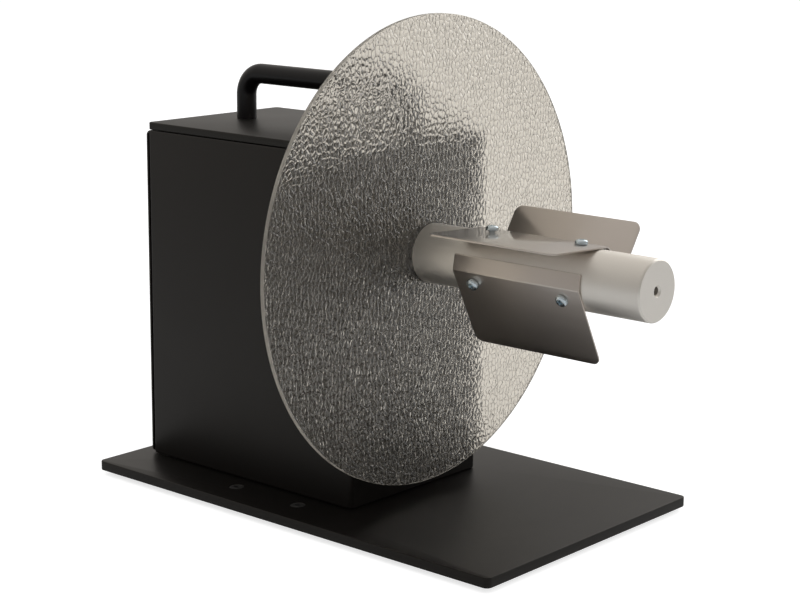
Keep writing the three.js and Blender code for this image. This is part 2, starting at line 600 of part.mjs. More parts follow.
function coreWing() {
  const { sheet, length, flap, bendBack, lip, bendRadius, corner } = WING;
  const bend = 2 * Math.atan(bendBack / wingInner);
  const pivot = new THREE.Vector2(wingInner - bendRadius, -(wingInner - bendRadius) * Math.tan(bend / 2));
  const across = new THREE.Vector2(Math.cos(bend), -Math.sin(bend));
  const along = new THREE.Vector2(Math.sin(bend), Math.cos(bend));
  const lipEnd = (distance) => across.clone().multiplyScalar(distance).addScaledVector(along, bendBack - lip);
  const profile = new THREE.Shape();
  profile.moveTo(wingInner, flap);
  profile.absarc(pivot.x, pivot.y, bendRadius, 0, -bend, true);
  const [innerEnd, outerEnd] = [lipEnd(wingInner), lipEnd(wingOuter)];
  profile.lineTo(innerEnd.x, innerEnd.y);
  profile.lineTo(outerEnd.x, outerEnd.y);
  profile.absarc(pivot.x, pivot.y, bendRadius + sheet, -bend, 0, false);
  profile.lineTo(wingOuter, flap);
  profile.closePath();
  const folded = crossSlab(profile, wingRoot - length, wingRoot, { sides: 4 });
  const outline = roundedRectangle(2 * flap, length, corner, 0, wingRoot - length / 2);
  const blank = slab(outline, 2 * wingOuter, { sides: 6 }).rotateY(Math.PI / 2);
  const holes = wingScrewStations.map((y) => wingScrewHole(CUT).translate(0, y, 0));
  return cut(solidOf(folded).intersect(solidOf(blank)), ...holes.map(solidOf));
}

// Crank

function crankShaft() {
  const from = frameFront - SEAT;
  const to = armBack;
  return solidOf(chamferedBar(CRANK.radius, from, to));
}

// Two round ends joined by their outer tangents, hanging down from the shaft.
function armOutline() {
  const { hubEnd, gripEnd } = CRANK_ARM;
  const lean = Math.asin((hubEnd - gripEnd) / CRANK.throw);
  const outline = new THREE.Shape();
  outline.absarc(0, 0, hubEnd, -lean, Math.PI + lean);
  outline.absarc(0, -CRANK.throw, gripEnd, Math.PI + lean, 2 * Math.PI - lean);
  outline.closePath();
  return outline;
}

function crankArm() {
  const flat = crossSlab(armOutline(), armFront, armBack, { edge: CRANK_ARM.edge, sides: 8 });
  const boss = bar(CRANK.hubRadius, armHubFront, armFront + CUT, ROUND);
  const bore = bar(CRANK.radius + SEAT, armHubFront - CUT, armBack + CUT, ROUND);
  const pinHole = bar(PIN.rivet + SEAT, armFront - CUT, armBack + CUT, SMALL).translate(0, 0, -CRANK.throw);
  return cut(join(solidOf(flat), solidOf(boss)), solidOf(bore), solidOf(pinHole));
}

function gripPin() {
  const seat = armBack + SEAT;
  return solidOf(turned([
    [0, armFront], [PIN.rivet, armFront], [PIN.rivet, seat], [PIN.radius, seat],
    [PIN.radius, pinHeadFront], [PIN.headRadius, pinHeadFront], [PIN.headRadius, pinEnd - EDGE],
    [PIN.headRadius - EDGE, pinEnd], [0, pinEnd],
  ], ROUND));
}

// A turned grip: a neck by the arm, a belly under the fingers and a rounded end.
function crankGrip() {
  const { neck, belly, bellyAt, end, bore, lead } = GRIP;
  const side = new THREE.SplineCurve([
    new THREE.Vector2(neck, gripFront + lead),
    new THREE.Vector2((neck + belly) / 2, gripFront + bellyAt / 2),
    new THREE.Vector2(belly, gripFront + bellyAt),
    new THREE.Vector2((belly + end) / 2 + lead / 2, gripBack - 2 * lead),
    new THREE.Vector2(end, gripBack),
  ]).getPoints(8).map((p) => [p.x, p.y]);
  const neckEnd = [neck - lead / 2, gripFront];
  return solidOf(turned([[bore, gripFront], neckEnd, ...side, [bore, gripBack], [bore, gripFront]], ROUND));
}

// Assembly

function piece(parent, name, solid, finish, place = [0, 0, 0]) {
  const mesh = new THREE.Mesh(geometryOf(solid), materials[finish]);
  mesh.name = name;
  mesh.position.set(...place);
  parent.add(mesh);
  return mesh;
}

function group(parent, x, y, z) {
  const made = new THREE.Group();
  made.position.set(x, y, z);
  parent.add(made);
  return made;
}

function buildBase(parent) {
  piece(parent, 'base_plate', basePlate(), 'blackPlate');
  footPlaces.forEach(([x, y], i) => piece(parent, `foot_${i + 1}`, foot(), 'rubber', [x, y, 0]));
  accessoryPlaces.forEach(([x, y], i) => {
    const screw = solidOf(upright(flatScrew(M5_FLAT, PLATE.thickness, SMALL)));
    piece(parent, `accessory_screw_${i + 1}`, screw, 'zinc', [x, y, plateTop]);
  });
}

function buildHousing(parent) {
  piece(parent, 'housing_shell', housingShell(), 'blackPaint');
  piece(parent, 'rear_panel', rearPanel(), 'blackPaint');
  piece(parent, 'top_plate', topPlate(), 'blackPaint');
  piece(parent, 'carry_handle', carryHandle(), 'blackGrip', [0, handleMiddle, topFace + SEAT]);
  handlePlaces.forEach((y, i) => {
    const bolt = solidOf(upright(panScrew(M6_BOLT, handleBoltLength).rotateX(Math.PI)));
    piece(parent, `handle_bolt_${i + 1}`, bolt, 'zinc', [0, y, topBottom - SEAT]);
  });
  housingScrewPlaces.forEach(([x, y], i) => {
    const screw = solidOf(upright(flatScrew(M4_FLAT, housingScrewLength).rotateX(Math.PI)));
    piece(parent, `housing_screw_${i + 1}`, screw, 'zinc', [x, y, plateBottom]);
  });
  topScrewPlaces.forEach(([x, y], i) => {
    const screw = solidOf(upright(panScrew(M4_PAN, topScrewLength).rotateX(Math.PI)));
    piece(parent, `top_plate_screw_${i + 1}`, screw, 'zinc', [x, y, shellTop - SHELL.sheet - SEAT]);
  });
  panelScrewPlaces.forEach(([x, z], i) => {
    const screw = solidOf(panScrew(M4_PAN, panelScrewLength, SMALL));
    piece(parent, `rear_panel_screw_${i + 1}`, screw, 'zinc', [x, panelRear + SEAT, z]);
  });
}

function buildFrame(parent) {
  piece(parent, 'frame_plate_front', framePlate(), 'plainAluminium', [0, frameFront, 0]);
  piece(parent, 'frame_plate_rear', framePlate(), 'plainAluminium', [0, frameRear, 0]);
  spacerPlaces.forEach(([x, z], i) => {
    piece(parent, `frame_spacer_${i + 1}`, frameSpacer(), 'steel', [x, 0, z]);
  });
  frameScrewPlaces.forEach(([x, y], i) => {
    const screw = solidOf(upright(flatScrew(M5_FLAT, frameScrewLength).rotateX(Math.PI)));
    piece(parent, `frame_screw_${i + 1}`, screw, 'zinc', [x, y, plateBottom]);
  });
  piece(parent, 'spindle_bearing_front', spindleBearing(), 'steel', [0, frameFront + bearingInset, spindleZ]);
  piece(parent, 'spindle_bearing_rear', spindleBearing(), 'steel', [0, frameRear + bearingInset, spindleZ]);
  const rearBush = [crankX, frameRear - SEAT, crankZ];
  piece(parent, 'crank_bush_rear', crankBush(), 'bronze', rearBush);
  const frontBush = piece(parent, 'crank_bush_front', crankBush(), 'bronze',
    [crankX, frameFront + FRAME.thickness + SEAT, crankZ]);
  frontBush.rotation.z = Math.PI;
}

function buildSpindle(parent) {
  const spindle = group(parent, 0, 0, spindleZ);
  piece(spindle, 'spindle_shaft', spindleShaft(), 'steel');
  piece(spindle, 'spindle_gear', spindleGear(), 'steel');
  piece(spindle, 'disc_hub', discHub(), 'blackPaint');
  hubScrewAngles.forEach((angle, i) => {
    const length = hubBack - mandrelRoot + HUB_SCREW_BITE;
    const screw = aroundSpindle(flatScrew(M4_FLAT, length).translate(0, hubBack, 0), hubScrewCircle, angle);
    piece(spindle, `hub_screw_${i + 1}`, solidOf(screw), 'zinc');
  });
  piece(spindle, 'flange_disc', flangeDisc(), 'clearAcrylic');
  piece(spindle, 'mandrel', mandrel(), 'turnedAluminium');
  wingAngles.forEach((angle, i) => {
    const turnedWing = group(spindle, 0, 0, 0);
    turnedWing.rotation.y = -angle;
    piece(turnedWing, `core_wing_${i + 1}`, coreWing(), 'stainless');
    wingScrewStations.forEach((y, j) => {
      const length = wingOuter + SEAT - MANDREL.radius + WING_SCREWS.bite;
      const screw = solidOf(panScrew(M4_PAN, length, SMALL).rotateZ(-Math.PI / 2));
      const place = [wingOuter + SEAT, y, WING_SCREWS.offset];
      piece(turnedWing, `wing_screw_${2 * i + j + 1}`, screw, 'zinc', place);
    });
  });
}

function buildCrank(parent) {
  const crank = group(parent, crankX, 0, crankZ);
  piece(crank, 'crank_shaft', crankShaft(), 'steel');
  piece(crank, 'crank_gear', crankGear(), 'steel');
  piece(crank, 'crank_arm', crankArm(), 'blackPaint');
  const gripAxis = group(crank, 0, 0, -CRANK.throw);
  piece(gripAxis, 'grip_pin', gripPin(), 'steel');
  piece(gripAxis, 'crank_grip', crankGrip(), 'blackGrip');
}

const rewinder = new THREE.Group();
const drawn = group(rewinder, 0, -(mandrelTip + pinEnd) / 2, 0);
buildBase(drawn);
buildHousing(drawn);
buildFrame(drawn);
buildSpindle(drawn);
buildCrank(drawn);

export default rewinder;
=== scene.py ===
"""Looks of a hand-cranked label rewinder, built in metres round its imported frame.

A black box on a base plate turns a horizontal spindle. The spindle carries a clear pebbled disc and a
turned mandrel with three bent sheet wings, and a crank with a turned grip stands on the rear face.
"""
import json
import logging
import math
from dataclasses import dataclass, field
from enum import Enum
from functools import cache

import bmesh
import bpy
from mathutils import Matrix, Vector


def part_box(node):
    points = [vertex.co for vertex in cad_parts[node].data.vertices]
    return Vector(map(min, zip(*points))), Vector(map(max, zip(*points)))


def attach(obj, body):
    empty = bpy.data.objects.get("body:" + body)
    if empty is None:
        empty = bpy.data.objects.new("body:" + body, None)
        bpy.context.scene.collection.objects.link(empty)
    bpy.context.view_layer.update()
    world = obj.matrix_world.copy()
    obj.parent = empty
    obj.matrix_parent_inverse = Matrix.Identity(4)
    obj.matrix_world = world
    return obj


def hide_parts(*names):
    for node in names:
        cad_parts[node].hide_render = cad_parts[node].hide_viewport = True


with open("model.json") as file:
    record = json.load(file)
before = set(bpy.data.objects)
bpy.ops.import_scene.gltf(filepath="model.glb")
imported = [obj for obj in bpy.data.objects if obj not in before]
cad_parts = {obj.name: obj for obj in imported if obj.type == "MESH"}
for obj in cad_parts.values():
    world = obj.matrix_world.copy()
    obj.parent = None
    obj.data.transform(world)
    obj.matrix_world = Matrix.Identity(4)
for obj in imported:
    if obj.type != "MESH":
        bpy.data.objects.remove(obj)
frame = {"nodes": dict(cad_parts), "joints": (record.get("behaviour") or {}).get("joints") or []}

log = logging.getLogger("rewinder")

MM = 0.001
NEAR = 1e-7  # corners this near each other, in metres, are one corner
SHARP = 35.0  # edges that bend more than this many degrees stay sharp
THROUGH = 6  # how far a round cutter runs to either side of a sheet, in millimetres
ROUND = 64  # steps in a full turn of a plain round piece
WHITE = (1.0, 1.0, 1.0, 1.0)
HERE = Matrix().freeze()

Colour = tuple[float, float, float]
Profile = list[tuple[float, float]]  # points of radius and height, in millimetres
Form = bmesh.types.BMesh
Socket = bpy.types.NodeSocket
Sockets = bpy.types.NodeOutputs
Tree = bpy.types.NodeTree
Piece = bpy.types.Object
Edge = bmesh.types.BMEdge


class Axis(Enum):
    """The direction that a piece built along +Z is turned to, as quarter turns about X."""

    UP = 0
    FRONT = 1
    DOWN = 2
    REAR = -1

    def at(self, x: float, y: float, z: float) -> Matrix:
        """Gives the matrix that stands a piece at a point, in metres, turned this way."""
        return Matrix.Translation((x, y, z)) @ Matrix.Rotation(self.value * math.pi / 2, 4, "X")


class Body(Enum):
    """The bodies that the pieces move with."""

    BASE = "base"
    SPINDLE = "spindle"
    CRANK = "crank"
    GRIP = "grip"


class Graph:
    """A node tree with short calls to add and link nodes."""

    def __init__(self, tree: Tree) -> None:
        """Takes hold of the node tree of a material, a world or a group."""
        self.tree = tree

    def add(self, kind: str, feeds: dict | None = None, **settings: object) -> bpy.types.Node:
        """Adds a node, sets its options and feeds its inputs.

        Args:
            kind: The node's type, without its ShaderNode prefix.
            feeds: What feeds its inputs, as in feed.
            settings: The node's own options.

        Returns:
            The new node.
        """
        node = self.tree.nodes.new("ShaderNode" + kind)
        for name, value in settings.items():
            setattr(node, name, value)
        self.feed(node, feeds or {})
        return node

    def feed(self, node: bpy.types.Node, feeds: dict) -> None:
        """Fills or links a node's inputs.

        Args:
            node: The node.
            feeds: For each input, by name or number, the value or the socket that feeds it.
        """
        for key, value in feeds.items():
            if isinstance(value, Socket):
                self.tree.links.new(value, node.inputs[key])
            else:
                node.inputs[key].default_value = value

    def math(self, operation: str, *values: object) -> Socket:
        """Adds a Math node and gives its output."""
        return self.add("Math", dict(enumerate(values)), operation=operation).outputs[0]

    def share(self, a: Socket, b: Socket, part: float) -> Socket:
        """Adds up two values, a part of the first and the rest of the second."""
        return self.math("MULTIPLY_ADD", a, part, self.math("MULTIPLY", b, 1 - part))

    def spread(self, value: Socket, low: float, high: float, start: float = 0.0, stop: float = 1.0,
               kind: str = "LINEAR") -> Socket:
        """Goes from low to high while a value goes from start to stop.

        Args:
            value: The value.
            low: What comes out at start.
            high: What comes out at stop.
            start: Where the value starts.
            stop: Where it ends.
            kind: How it goes, LINEAR or SMOOTHSTEP.

        Returns:
            The new value.
        """
        feeds = {"Value": value, "From Min": start, "From Max": stop, "To Min": low, "To Max": high}
        return self.add("MapRange", feeds, interpolation_type=kind).outputs["Result"]

    def blend(self, mask: Socket, a: Colour, b: Colour) -> Socket:
        """Gives colour a where the mask is 0 and colour b where it is 1."""
        return self.add("Mix", {0: mask, 6: (*a, 1.0), 7: (*b, 1.0)}, data_type="RGBA").outputs[2]

    def noise(self, vector: Socket, scale: object, detail: float, **more: float) -> Socket:
        """Gives cloudy noise, from 0 to 1, over some coordinates."""
        feeds = {"Vector": vector, "Scale": scale, "Detail": detail, **more}
        return self.add("TexNoise", feeds).outputs["Fac"]

    def parts(self, vector: Socket) -> Sockets:
        """Gives the X, Y and Z of a vector."""
        return self.add("SeparateXYZ", {0: vector}).outputs

    def object_coordinates(self, move: tuple = (0, 0, 0), stretch: tuple = (1, 1, 1)) -> Socket:
        """Gives the piece's own coordinates, moved and stretched.

        Args:
            move: The point, in metres, that becomes the pattern's origin.
            stretch: How much finer the pattern is along each axis.

        Returns:
            The vector socket.
        """
        source = self.add("TexCoord").outputs["Object"]
        moved = self.add("VectorMath", {0: source, 1: move}, operation="SUBTRACT").outputs[0]
        return self.add("VectorMath", {0: moved, 1: stretch}, operation="MULTIPLY").outputs[0]

    def white_rays(self) -> tuple[Socket, Socket]:
        """Gives the mask of the rays that see plain white, and the mask of the mirrored ones."""
        path = self.add("LightPath").outputs
        return self.math("MAXIMUM", path["Is Camera Ray"], path["Is Transmission Ray"]), path["Is Glossy Ray"]


class Group(Graph):
    """A new shader node group that takes a vector and some numbers, and gives values."""

    def __init__(self, name: str, numbers: list[str], outputs: list[str]) -> None:
        """Makes the empty group with its sockets.

        Args:
            name: The group's name.
            numbers: The names of its inputs besides the vector.
            outputs: The names of its outputs.
        """
        super().__init__(bpy.data.node_groups.new(name, "ShaderNodeTree"))
        number = "NodeSocketFloat"
        sockets = [("Vector", "INPUT", "NodeSocketVector"), *((n, "INPUT", number) for n in numbers),
                   *((n, "OUTPUT", number) for n in outputs)]
        for socket, side, kind in sockets:
            self.tree.interface.new_socket(name=socket, in_out=side, socket_type=kind)
        self.given = self.tree.nodes.new("NodeGroupInput").outputs
        self.result = self.tree.nodes.new("NodeGroupOutput")


@cache
def grain_group() -> Tree:
    """Makes the group of fine orange peel and of broad, faint handling marks.

    Returns:
        The group.
    """
    group = Group("paint_grain", ["Grain", "Marks"], ["Height", "Marks"])
    vector, grain, marks = (group.given[name] for name in ("Vector", "Grain", "Marks"))
    fine = group.noise(vector, grain, 3.0)
    peel = group.add("TexVoronoi", {"Vector": vector, "Scale": grain}, feature="SMOOTH_F1")
    broad = group.noise(vector, marks, 6.0, Roughness=0.62, Distortion=0.6)
    height = group.math("MULTIPLY_ADD", peel.outputs["Distance"], 0.6, fine)
    group.feed(group.result, {"Height": height, "Marks": broad})
    return group.tree


@cache
def streaks_group() -> Tree:
    """Makes the group of brushing streaks, for coordinates that are stretched along them.

    Returns:
        The group.
    """
    group = Group("brushing_streaks", ["Fineness"], ["Streaks", "Cloud"])
    vector, fineness = group.given["Vector"], group.given["Fineness"]
    fine = group.noise(vector, fineness, 4.0, Roughness=0.7)
    coarse = group.noise(vector, group.math("MULTIPLY", fineness, 0.22), 2.0)
    cloud = group.noise(vector, group.math("MULTIPLY", fineness, 0.02), 3.0)
    group.feed(group.result, {"Streaks": group.share(fine, coarse, 0.65), "Cloud": cloud})
    return group.tree


@cache
def turning_group() -> Tree:
    """Makes the group of lathe marks: rings along Y on the side and round the axis on an end.

    Returns:
        The group.
    """
    group = Group("turning_marks", ["Fineness"], ["Rings", "Cloud"])
    vector = group.given["Vector"]
    parts = group.parts(vector)
    square = group.math("MULTIPLY", parts["X"], parts["X"])
    radius = group.math("SQRT", group.math("MULTIPLY_ADD", parts["Z"], parts["Z"], square))
    place = group.math("MULTIPLY", group.math("ADD", radius, parts["Y"]), group.given["Fineness"])
    rings = group.add("TexNoise", {"W": place, "Scale": 1.0, "Detail": 3.0, "Roughness": 0.65},
                      noise_dimensions="1D")
    cloud = group.noise(vector, 35.0, 4.0)
    group.feed(group.result, {"Rings": rings.outputs["Fac"], "Cloud": cloud})
    return group.tree


class Surface(Graph):
    """A new material's node tree, with its Principled BSDF."""

    def __init__(self, name: str, colour: Colour, roughness: float) -> None:
        """Makes the plain material.

        Args:
            name: The material's name.
            colour: Its plain colour.
            roughness: Its plain roughness.
        """
        self.material = bpy.data.materials.new(name)
        self.material.use_nodes = True
        super().__init__(self.material.node_tree)
        self.tree.nodes.clear()
        self.shader = self.add("BsdfPrincipled", {"Base Color": (*colour, 1.0), "Roughness": roughness})
        self.add("OutputMaterial", {"Surface": self.shader.outputs["BSDF"]})

    def set(self, values: dict) -> None:
        """Sets or links inputs of the shader."""
        self.feed(self.shader, values)

    def effect(self, tree: Tree, feeds: dict, **coordinates: tuple) -> Sockets:
        """Puts a shared group in, on the piece's own coordinates.

        Args:
            tree: The group.
            feeds: The values for its inputs.
            coordinates: How object_coordinates moves and stretches them.

        Returns:
            Its outputs.
        """
        feeds = {"Vector": self.object_coordinates(**coordinates), **feeds}
        return self.add("Group", feeds, node_tree=tree).outputs

    def wear(self, colour: Socket, rough: Socket, height: Socket, relief: float, depth: float) -> None:
        """Gives the shader its colour, roughness and relief.

        Args:
            colour: The colour.
            rough: The roughness.
            height: The height of the relief.
            relief: How strong the relief is, from 0 to 1.
            depth: How deep it is, in millimetres.
        """
        bump = self.add("Bump", {"Strength": relief, "Distance": depth * MM, "Height": height})
        self.set({"Base Color": colour, "Roughness": rough, "Normal": bump.outputs["Normal"]})


@dataclass(frozen=True)
class Finish:
    """What every finish has: its name, its slot in the record, its plain colour and its roughness."""

    name: str
    slot: str
    colour: Colour
    roughness: float

    def material(self) -> bpy.types.Material:
        """Makes the material, if it isn't there yet.

        Returns:
            The material.
        """
        made = bpy.data.materials.get(self.name)
        if made is None:
            surface = Surface(self.name, self.colour, self.roughness)
            self.dress(surface)
            made = surface.material
        return made

    def dress(self, surface: Surface) -> None:
        """Adds the finish's own detail."""
        raise NotImplementedError

    def shades(self, dark: float, light: float) -> tuple[Colour, Colour]:
        """Gives the plain colour made darker and lighter."""
        return tuple(tuple(min(c * factor, 1.0) for c in self.colour) for factor in (dark, light))


@dataclass(frozen=True)
class Grained(Finish):
    """A surface with a fine grain and broad, faint marks."""

    grain: float = 1100.0
    marks: float = 9.0
    relief: float = 0.16
    depth: float = 0.05
    metal: float = 0.0
    specular: float = 0.5
    tint: Colour = (1.0, 1.0, 1.0)
    dark: float = 0.82
    light: float = 1.18
    smoother: float = 0.05
    rougher: float = 0.05

    def tones(self) -> tuple[Colour, Colour]:
        """Gives the two colours that the marks go between."""
        return self.shades(self.dark, self.light)

    def dress(self, surface: Surface) -> None:
        """Adds the grain, the marks and a roughness that varies with them.

        Args:
            surface: The new material.
        """
        surface.set({"Metallic": self.metal, "Specular IOR Level": self.specular,
                     "Specular Tint": (*self.tint, 1.0)})
        out = surface.effect(grain_group(), {"Grain": self.grain, "Marks": self.marks})
        marks = out["Marks"]
        rough = surface.spread(marks, self.roughness - self.smoother, self.roughness + self.rougher)
        surface.wear(surface.blend(marks, *self.tones()), rough, out["Height"], self.relief, self.depth)


@dataclass(frozen=True)
class PowderCoat(Grained):
    """Fine matt powder coat over steel, with a warm gloss."""

    tint: Colour = (1.0, 0.945, 0.885)


@dataclass(frozen=True)
class Moulded(Grained):
    """Moulded plastic or rubber, with a coarser grain and a greater change of gloss."""

    grain: float = 700.0
    marks: float = 25.0
    relief: float = 0.2
    depth: float = 0.06
    dark: float = 0.8
    light: float = 1.25
    smoother: float = 0.08
    rougher: float = 0.08


@dataclass(frozen=True)
class PlatedMetal(Grained):
    """Zinc plate or bare metal on small parts, with a second tone in cloudy patches."""

    second: Colour = (0.5, 0.6, 0.66)
    metal: float = 1.0
    grain: float = 2600.0
    marks: float = 420.0
    relief: float = 0.2
    depth: float = 0.02
    smoother: float = 0.08
    rougher: float = 0.1

    def tones(self) -> tuple[Colour, Colour]:
        """Gives the plain colour and the second one."""
        return self.colour, self.second


@dataclass(frozen=True)
class BrushedMetal(Finish):
    """Sheet or ground metal with streaks along one direction, and a polish over them."""

    stretch: tuple = (1.0, 0.02, 1.0)
    fineness: float = 1600.0
    contrast: float = 0.12
    relief: float = 0.25
    polish: float = 0.0
    polish_roughness: float = 0.08
    edge: float = 1.0
    depth: float = 0.01
    part: float = 0.6
    swing: float = 0.25

    def dress(self, surface: Surface) -> None:
        """Adds the streaks to the colour, the roughness and the surface, and the polish.

        Args:
            surface: The new material.
        """
        surface.set({"Metallic": 1.0, "Specular Tint": (self.edge, self.edge, self.edge, 1.0),
                     "Coat Weight": self.polish, "Coat Roughness": self.polish_roughness})
        out = surface.effect(streaks_group(), {"Fineness": self.fineness}, stretch=self.stretch)
        tone = surface.share(out["Streaks"], out["Cloud"], self.part)
        colour = surface.blend(tone, *self.shades(1 - self.contrast, 1 + self.contrast))
        swing = self.roughness * self.swing
        rough = surface.spread(out["Streaks"], self.roughness - swing, self.roughness + swing)
        surface.wear(colour, rough, out["Streaks"], self.relief, self.depth)


@dataclass(frozen=True)
class TurnedMetal(Finish):
    """Metal turned on a lathe about an axis along Y."""

    axis: tuple = (0.0, 0.0, 0.0)
    fineness: float = 2400.0
    contrast: float = 0.08
    relief: float = 0.3
    depth: float = 0.012
    part: float = 0.55
    swing: float = 0.06

    def dress(self, surface: Surface) -> None:
        """Adds fine turning rings and soft cloudy wear.

        Args:
            surface: The new material.
        """
        surface.set({"Metallic": 1.0})
        out = surface.effect(turning_group(), {"Fineness": self.fineness}, move=self.axis)
        tone = surface.share(out["Rings"], out["Cloud"], self.part)
        colour = surface.blend(tone, *self.shades(1 - self.contrast, 1 + self.contrast))
        rough = surface.spread(out["Cloud"], self.roughness - self.swing, self.roughness + self.swing)
        surface.wear(colour, rough, out["Rings"], self.relief, self.depth)


@dataclass(frozen=True)
class PebbledAcrylic(Finish):
    """Clear acrylic with close pebbles parted by narrow valleys, and a sawn rim."""

    # painted shade: the valleys' darker colour stands in for light that their steep sides bend away
    painted_valley_shade: Colour = (0.24, 0.215, 0.18)
    clear: float = 0.965
    bending: float = 1.49
    across: float = 3.1
    up: float = 4.2
    drift: float = 0.9
    wander: float = 0.8
    uneven: float = 0.9
    valley_width: float = 0.13
    dome: float = 0.42
    depth: float = 0.5
    swell: float = 0.9
    swell_scale: float = 1.3
    valley_shade_gone: float = 0.36
    valley_shade_whole: float = 0.6
    rim_roughness: float = 0.55
    pebbled: str = "pebbled"
    sawn: str = "sawn"

    def dress(self, surface: Surface) -> None:
        """Adds the pebbles, painted shade in their valleys and the rough rim.

        Args:
            surface: The new material.
        """
        surface.set({"Transmission Weight": self.clear, "IOR": self.bending})
        pebbled, sawn = (surface.add("Attribute", attribute_name=name).outputs["Fac"]
                         for name in (self.pebbled, self.sawn))
        parts = surface.parts(surface.object_coordinates())
        x = surface.math("DIVIDE", parts["X"], self.across * MM)
        z = surface.math("DIVIDE", parts["Z"], self.up * MM)
        flat = surface.add("CombineXYZ", {"X": x, "Y": z}).outputs[0]
        drift = surface.add("TexNoise", {"Vector": flat, "Scale": self.drift, "Detail": 1.0})
        feeds = {0: drift.outputs["Color"], 1: (self.wander,) * 3, 2: flat}
        moved = surface.add("VectorMath", feeds, operation="MULTIPLY_ADD").outputs[0]
        cells = surface.add("TexVoronoi", {"Vector": moved, "Scale": 1.0, "Randomness": self.uneven},
                            feature="DISTANCE_TO_EDGE", voronoi_dimensions="2D").outputs["Distance"]
        crown = surface.spread(cells, 0.0, 1.0, 0.0, self.valley_width, "SMOOTHSTEP")
        fall = surface.spread(cells, 1.0, 0.0, 0.0, self.dome)
        lean = surface.noise(flat, self.swell_scale, 1.0)
        swell = surface.math("MULTIPLY", lean, self.swell)
        height = surface.math("SUBTRACT", swell, surface.math("MULTIPLY", fall, fall))
        # painted shade: the colour darkens in the valleys, only on the pebbled face, faded out in random
        # patches
        valley_shade_share = surface.spread(lean, 0.0, 1.0, self.valley_shade_gone, self.valley_shade_whole)
        valley_shade_share = surface.math("MULTIPLY", valley_shade_share, pebbled)
        low = surface.math("MULTIPLY", surface.math("SUBTRACT", 1.0, crown), valley_shade_share)
        surface.wear(surface.blend(low, self.colour, self.painted_valley_shade),
                     surface.spread(sawn, self.roughness, self.rim_roughness),
                     surface.math("MULTIPLY", height, pebbled), 1.0, self.depth)


def joint_place(name: str) -> Vector:
    """Gives the point, in metres, that a joint of the frame turns about."""
    return Vector(next(j for j in frame["joints"] if j["name"] == name)["pos_m"])


SPINDLE_AXIS = joint_place("spindle_turn")
CRANK_AXIS = joint_place("crank_turn")
GRIP_AXIS = joint_place("grip_turn")


class Finishes:
    """All the finishes of the machine."""

    # painted shade: the shell and rear panel wear the lid's and arm's paint at a third of its colour,
    # darkening the box's sides
    SHADED_SHELL = PowderCoat("black_shell_shaded", "black_paint", (0.0020, 0.0015, 0.0013), 0.44, specular=0.42)
    LID = PowderCoat("black_lid", "black_paint", (0.0060, 0.0055, 0.0045), 0.40, specular=0.33)
    PLATE = PowderCoat("black_base", "black_plate", (0.0018, 0.0013, 0.0011), 0.39, specular=0.34)
    ARM = PowderCoat("black_arm", "black_paint", (0.0060, 0.0055, 0.0052), 0.42, specular=0.6)
    HUB = BrushedMetal("black_anodised", "black_hub", (0.030, 0.030, 0.031), 0.38)
    HANDLE = Moulded("handle_plastic", "black_handle", (0.0024, 0.0018, 0.0020), 0.3, specular=0.31)
    GRIP = Moulded("grip_plastic", "black_handle", (0.0060, 0.0055, 0.0058), 0.38)
    RUBBER = Moulded("foot_rubber", "rubber", (0.010, 0.010, 0.010), 0.85, grain=1500.0)
    MANDREL = TurnedMetal("turned_bar", "turned_aluminium", (0.90, 0.865, 0.81), 0.44,
                          axis=tuple(SPINDLE_AXIS))
    SPINDLE = TurnedMetal("ground_spindle", "steel", (0.60, 0.60, 0.60), 0.3, axis=tuple(SPINDLE_AXIS))
    CRANKSHAFT = TurnedMetal("ground_shaft", "steel", (0.60, 0.60, 0.60), 0.3, axis=tuple(CRANK_AXIS))
    PIN = TurnedMetal("ground_pin", "steel", (0.62, 0.62, 0.62), 0.3, axis=tuple(GRIP_AXIS))
    WING = BrushedMetal("polished_stainless", "stainless", (0.67, 0.61, 0.56), 0.35, contrast=0.05,
                        relief=0.05, polish=1.0, edge=0.45)
    FRAME = BrushedMetal("milled_aluminium", "plain_aluminium", (0.68, 0.68, 0.67), 0.38,
                         stretch=(0.05, 1.0, 1.0))
    GEAR = PlatedMetal("gear_steel", "steel", (0.50, 0.50, 0.51), 0.34, second=(0.38, 0.38, 0.39))
    ZINC = PlatedMetal("zinc_plate", "zinc", (0.82, 0.89, 0.94), 0.24, second=(0.60, 0.73, 0.80))
    DULL_ZINC = PlatedMetal("dull_zinc", "zinc", (0.22, 0.22, 0.22), 0.45, second=(0.16, 0.16, 0.16))
    BRONZE = PlatedMetal("sintered_bronze", "bronze", (0.56, 0.36, 0.16), 0.42, second=(0.44, 0.28, 0.13))
    ACRYLIC = PebbledAcrylic("clear_pebbled_acrylic", "clear_acrylic", (0.58, 0.54, 0.475), 0.09)


def done(form: Form, place: Matrix = HERE) -> Form:
    """Turns a shape's faces out and stands it in its place.

    Args:
        form: The shape.
        place: Its place.

    Returns:
        The same shape.
    """
    bmesh.ops.recalc_face_normals(form, faces=form.faces)
    bmesh.ops.transform(form, matrix=place, verts=form.verts)
    return form


def lathe(profile: Profile, segments: int, place: Matrix = HERE) -> Form:
    """Turns a profile round +Z.

    Args:
        profile: Points that close on themselves or on the axis.
        segments: How many steps a full turn has.
        place: Where the shape stands.

    Returns:
        The closed shape, in metres.
    """
    form = bmesh.new()
    verts = [form.verts.new((r * MM, 0.0, z * MM)) for r, z in profile]
    edges = [form.edges.new(pair) for pair in zip(verts, verts[1:])]
    bmesh.ops.spin(form, geom=verts + edges, cent=(0, 0, 0), axis=(0, 0, 1), angle=2 * math.pi,
                   steps=segments, use_merge=True, use_duplicate=False)
    bmesh.ops.remove_doubles(form, verts=form.verts, dist=NEAR)
    return done(form, place)


def rod(radius: float, start: float, end: float, place: Matrix = HERE) -> Form:
    """Makes a plain round bar along +Z."""
    return lathe([(0, start), (radius, start), (radius, end), (0, end)], ROUND, place)


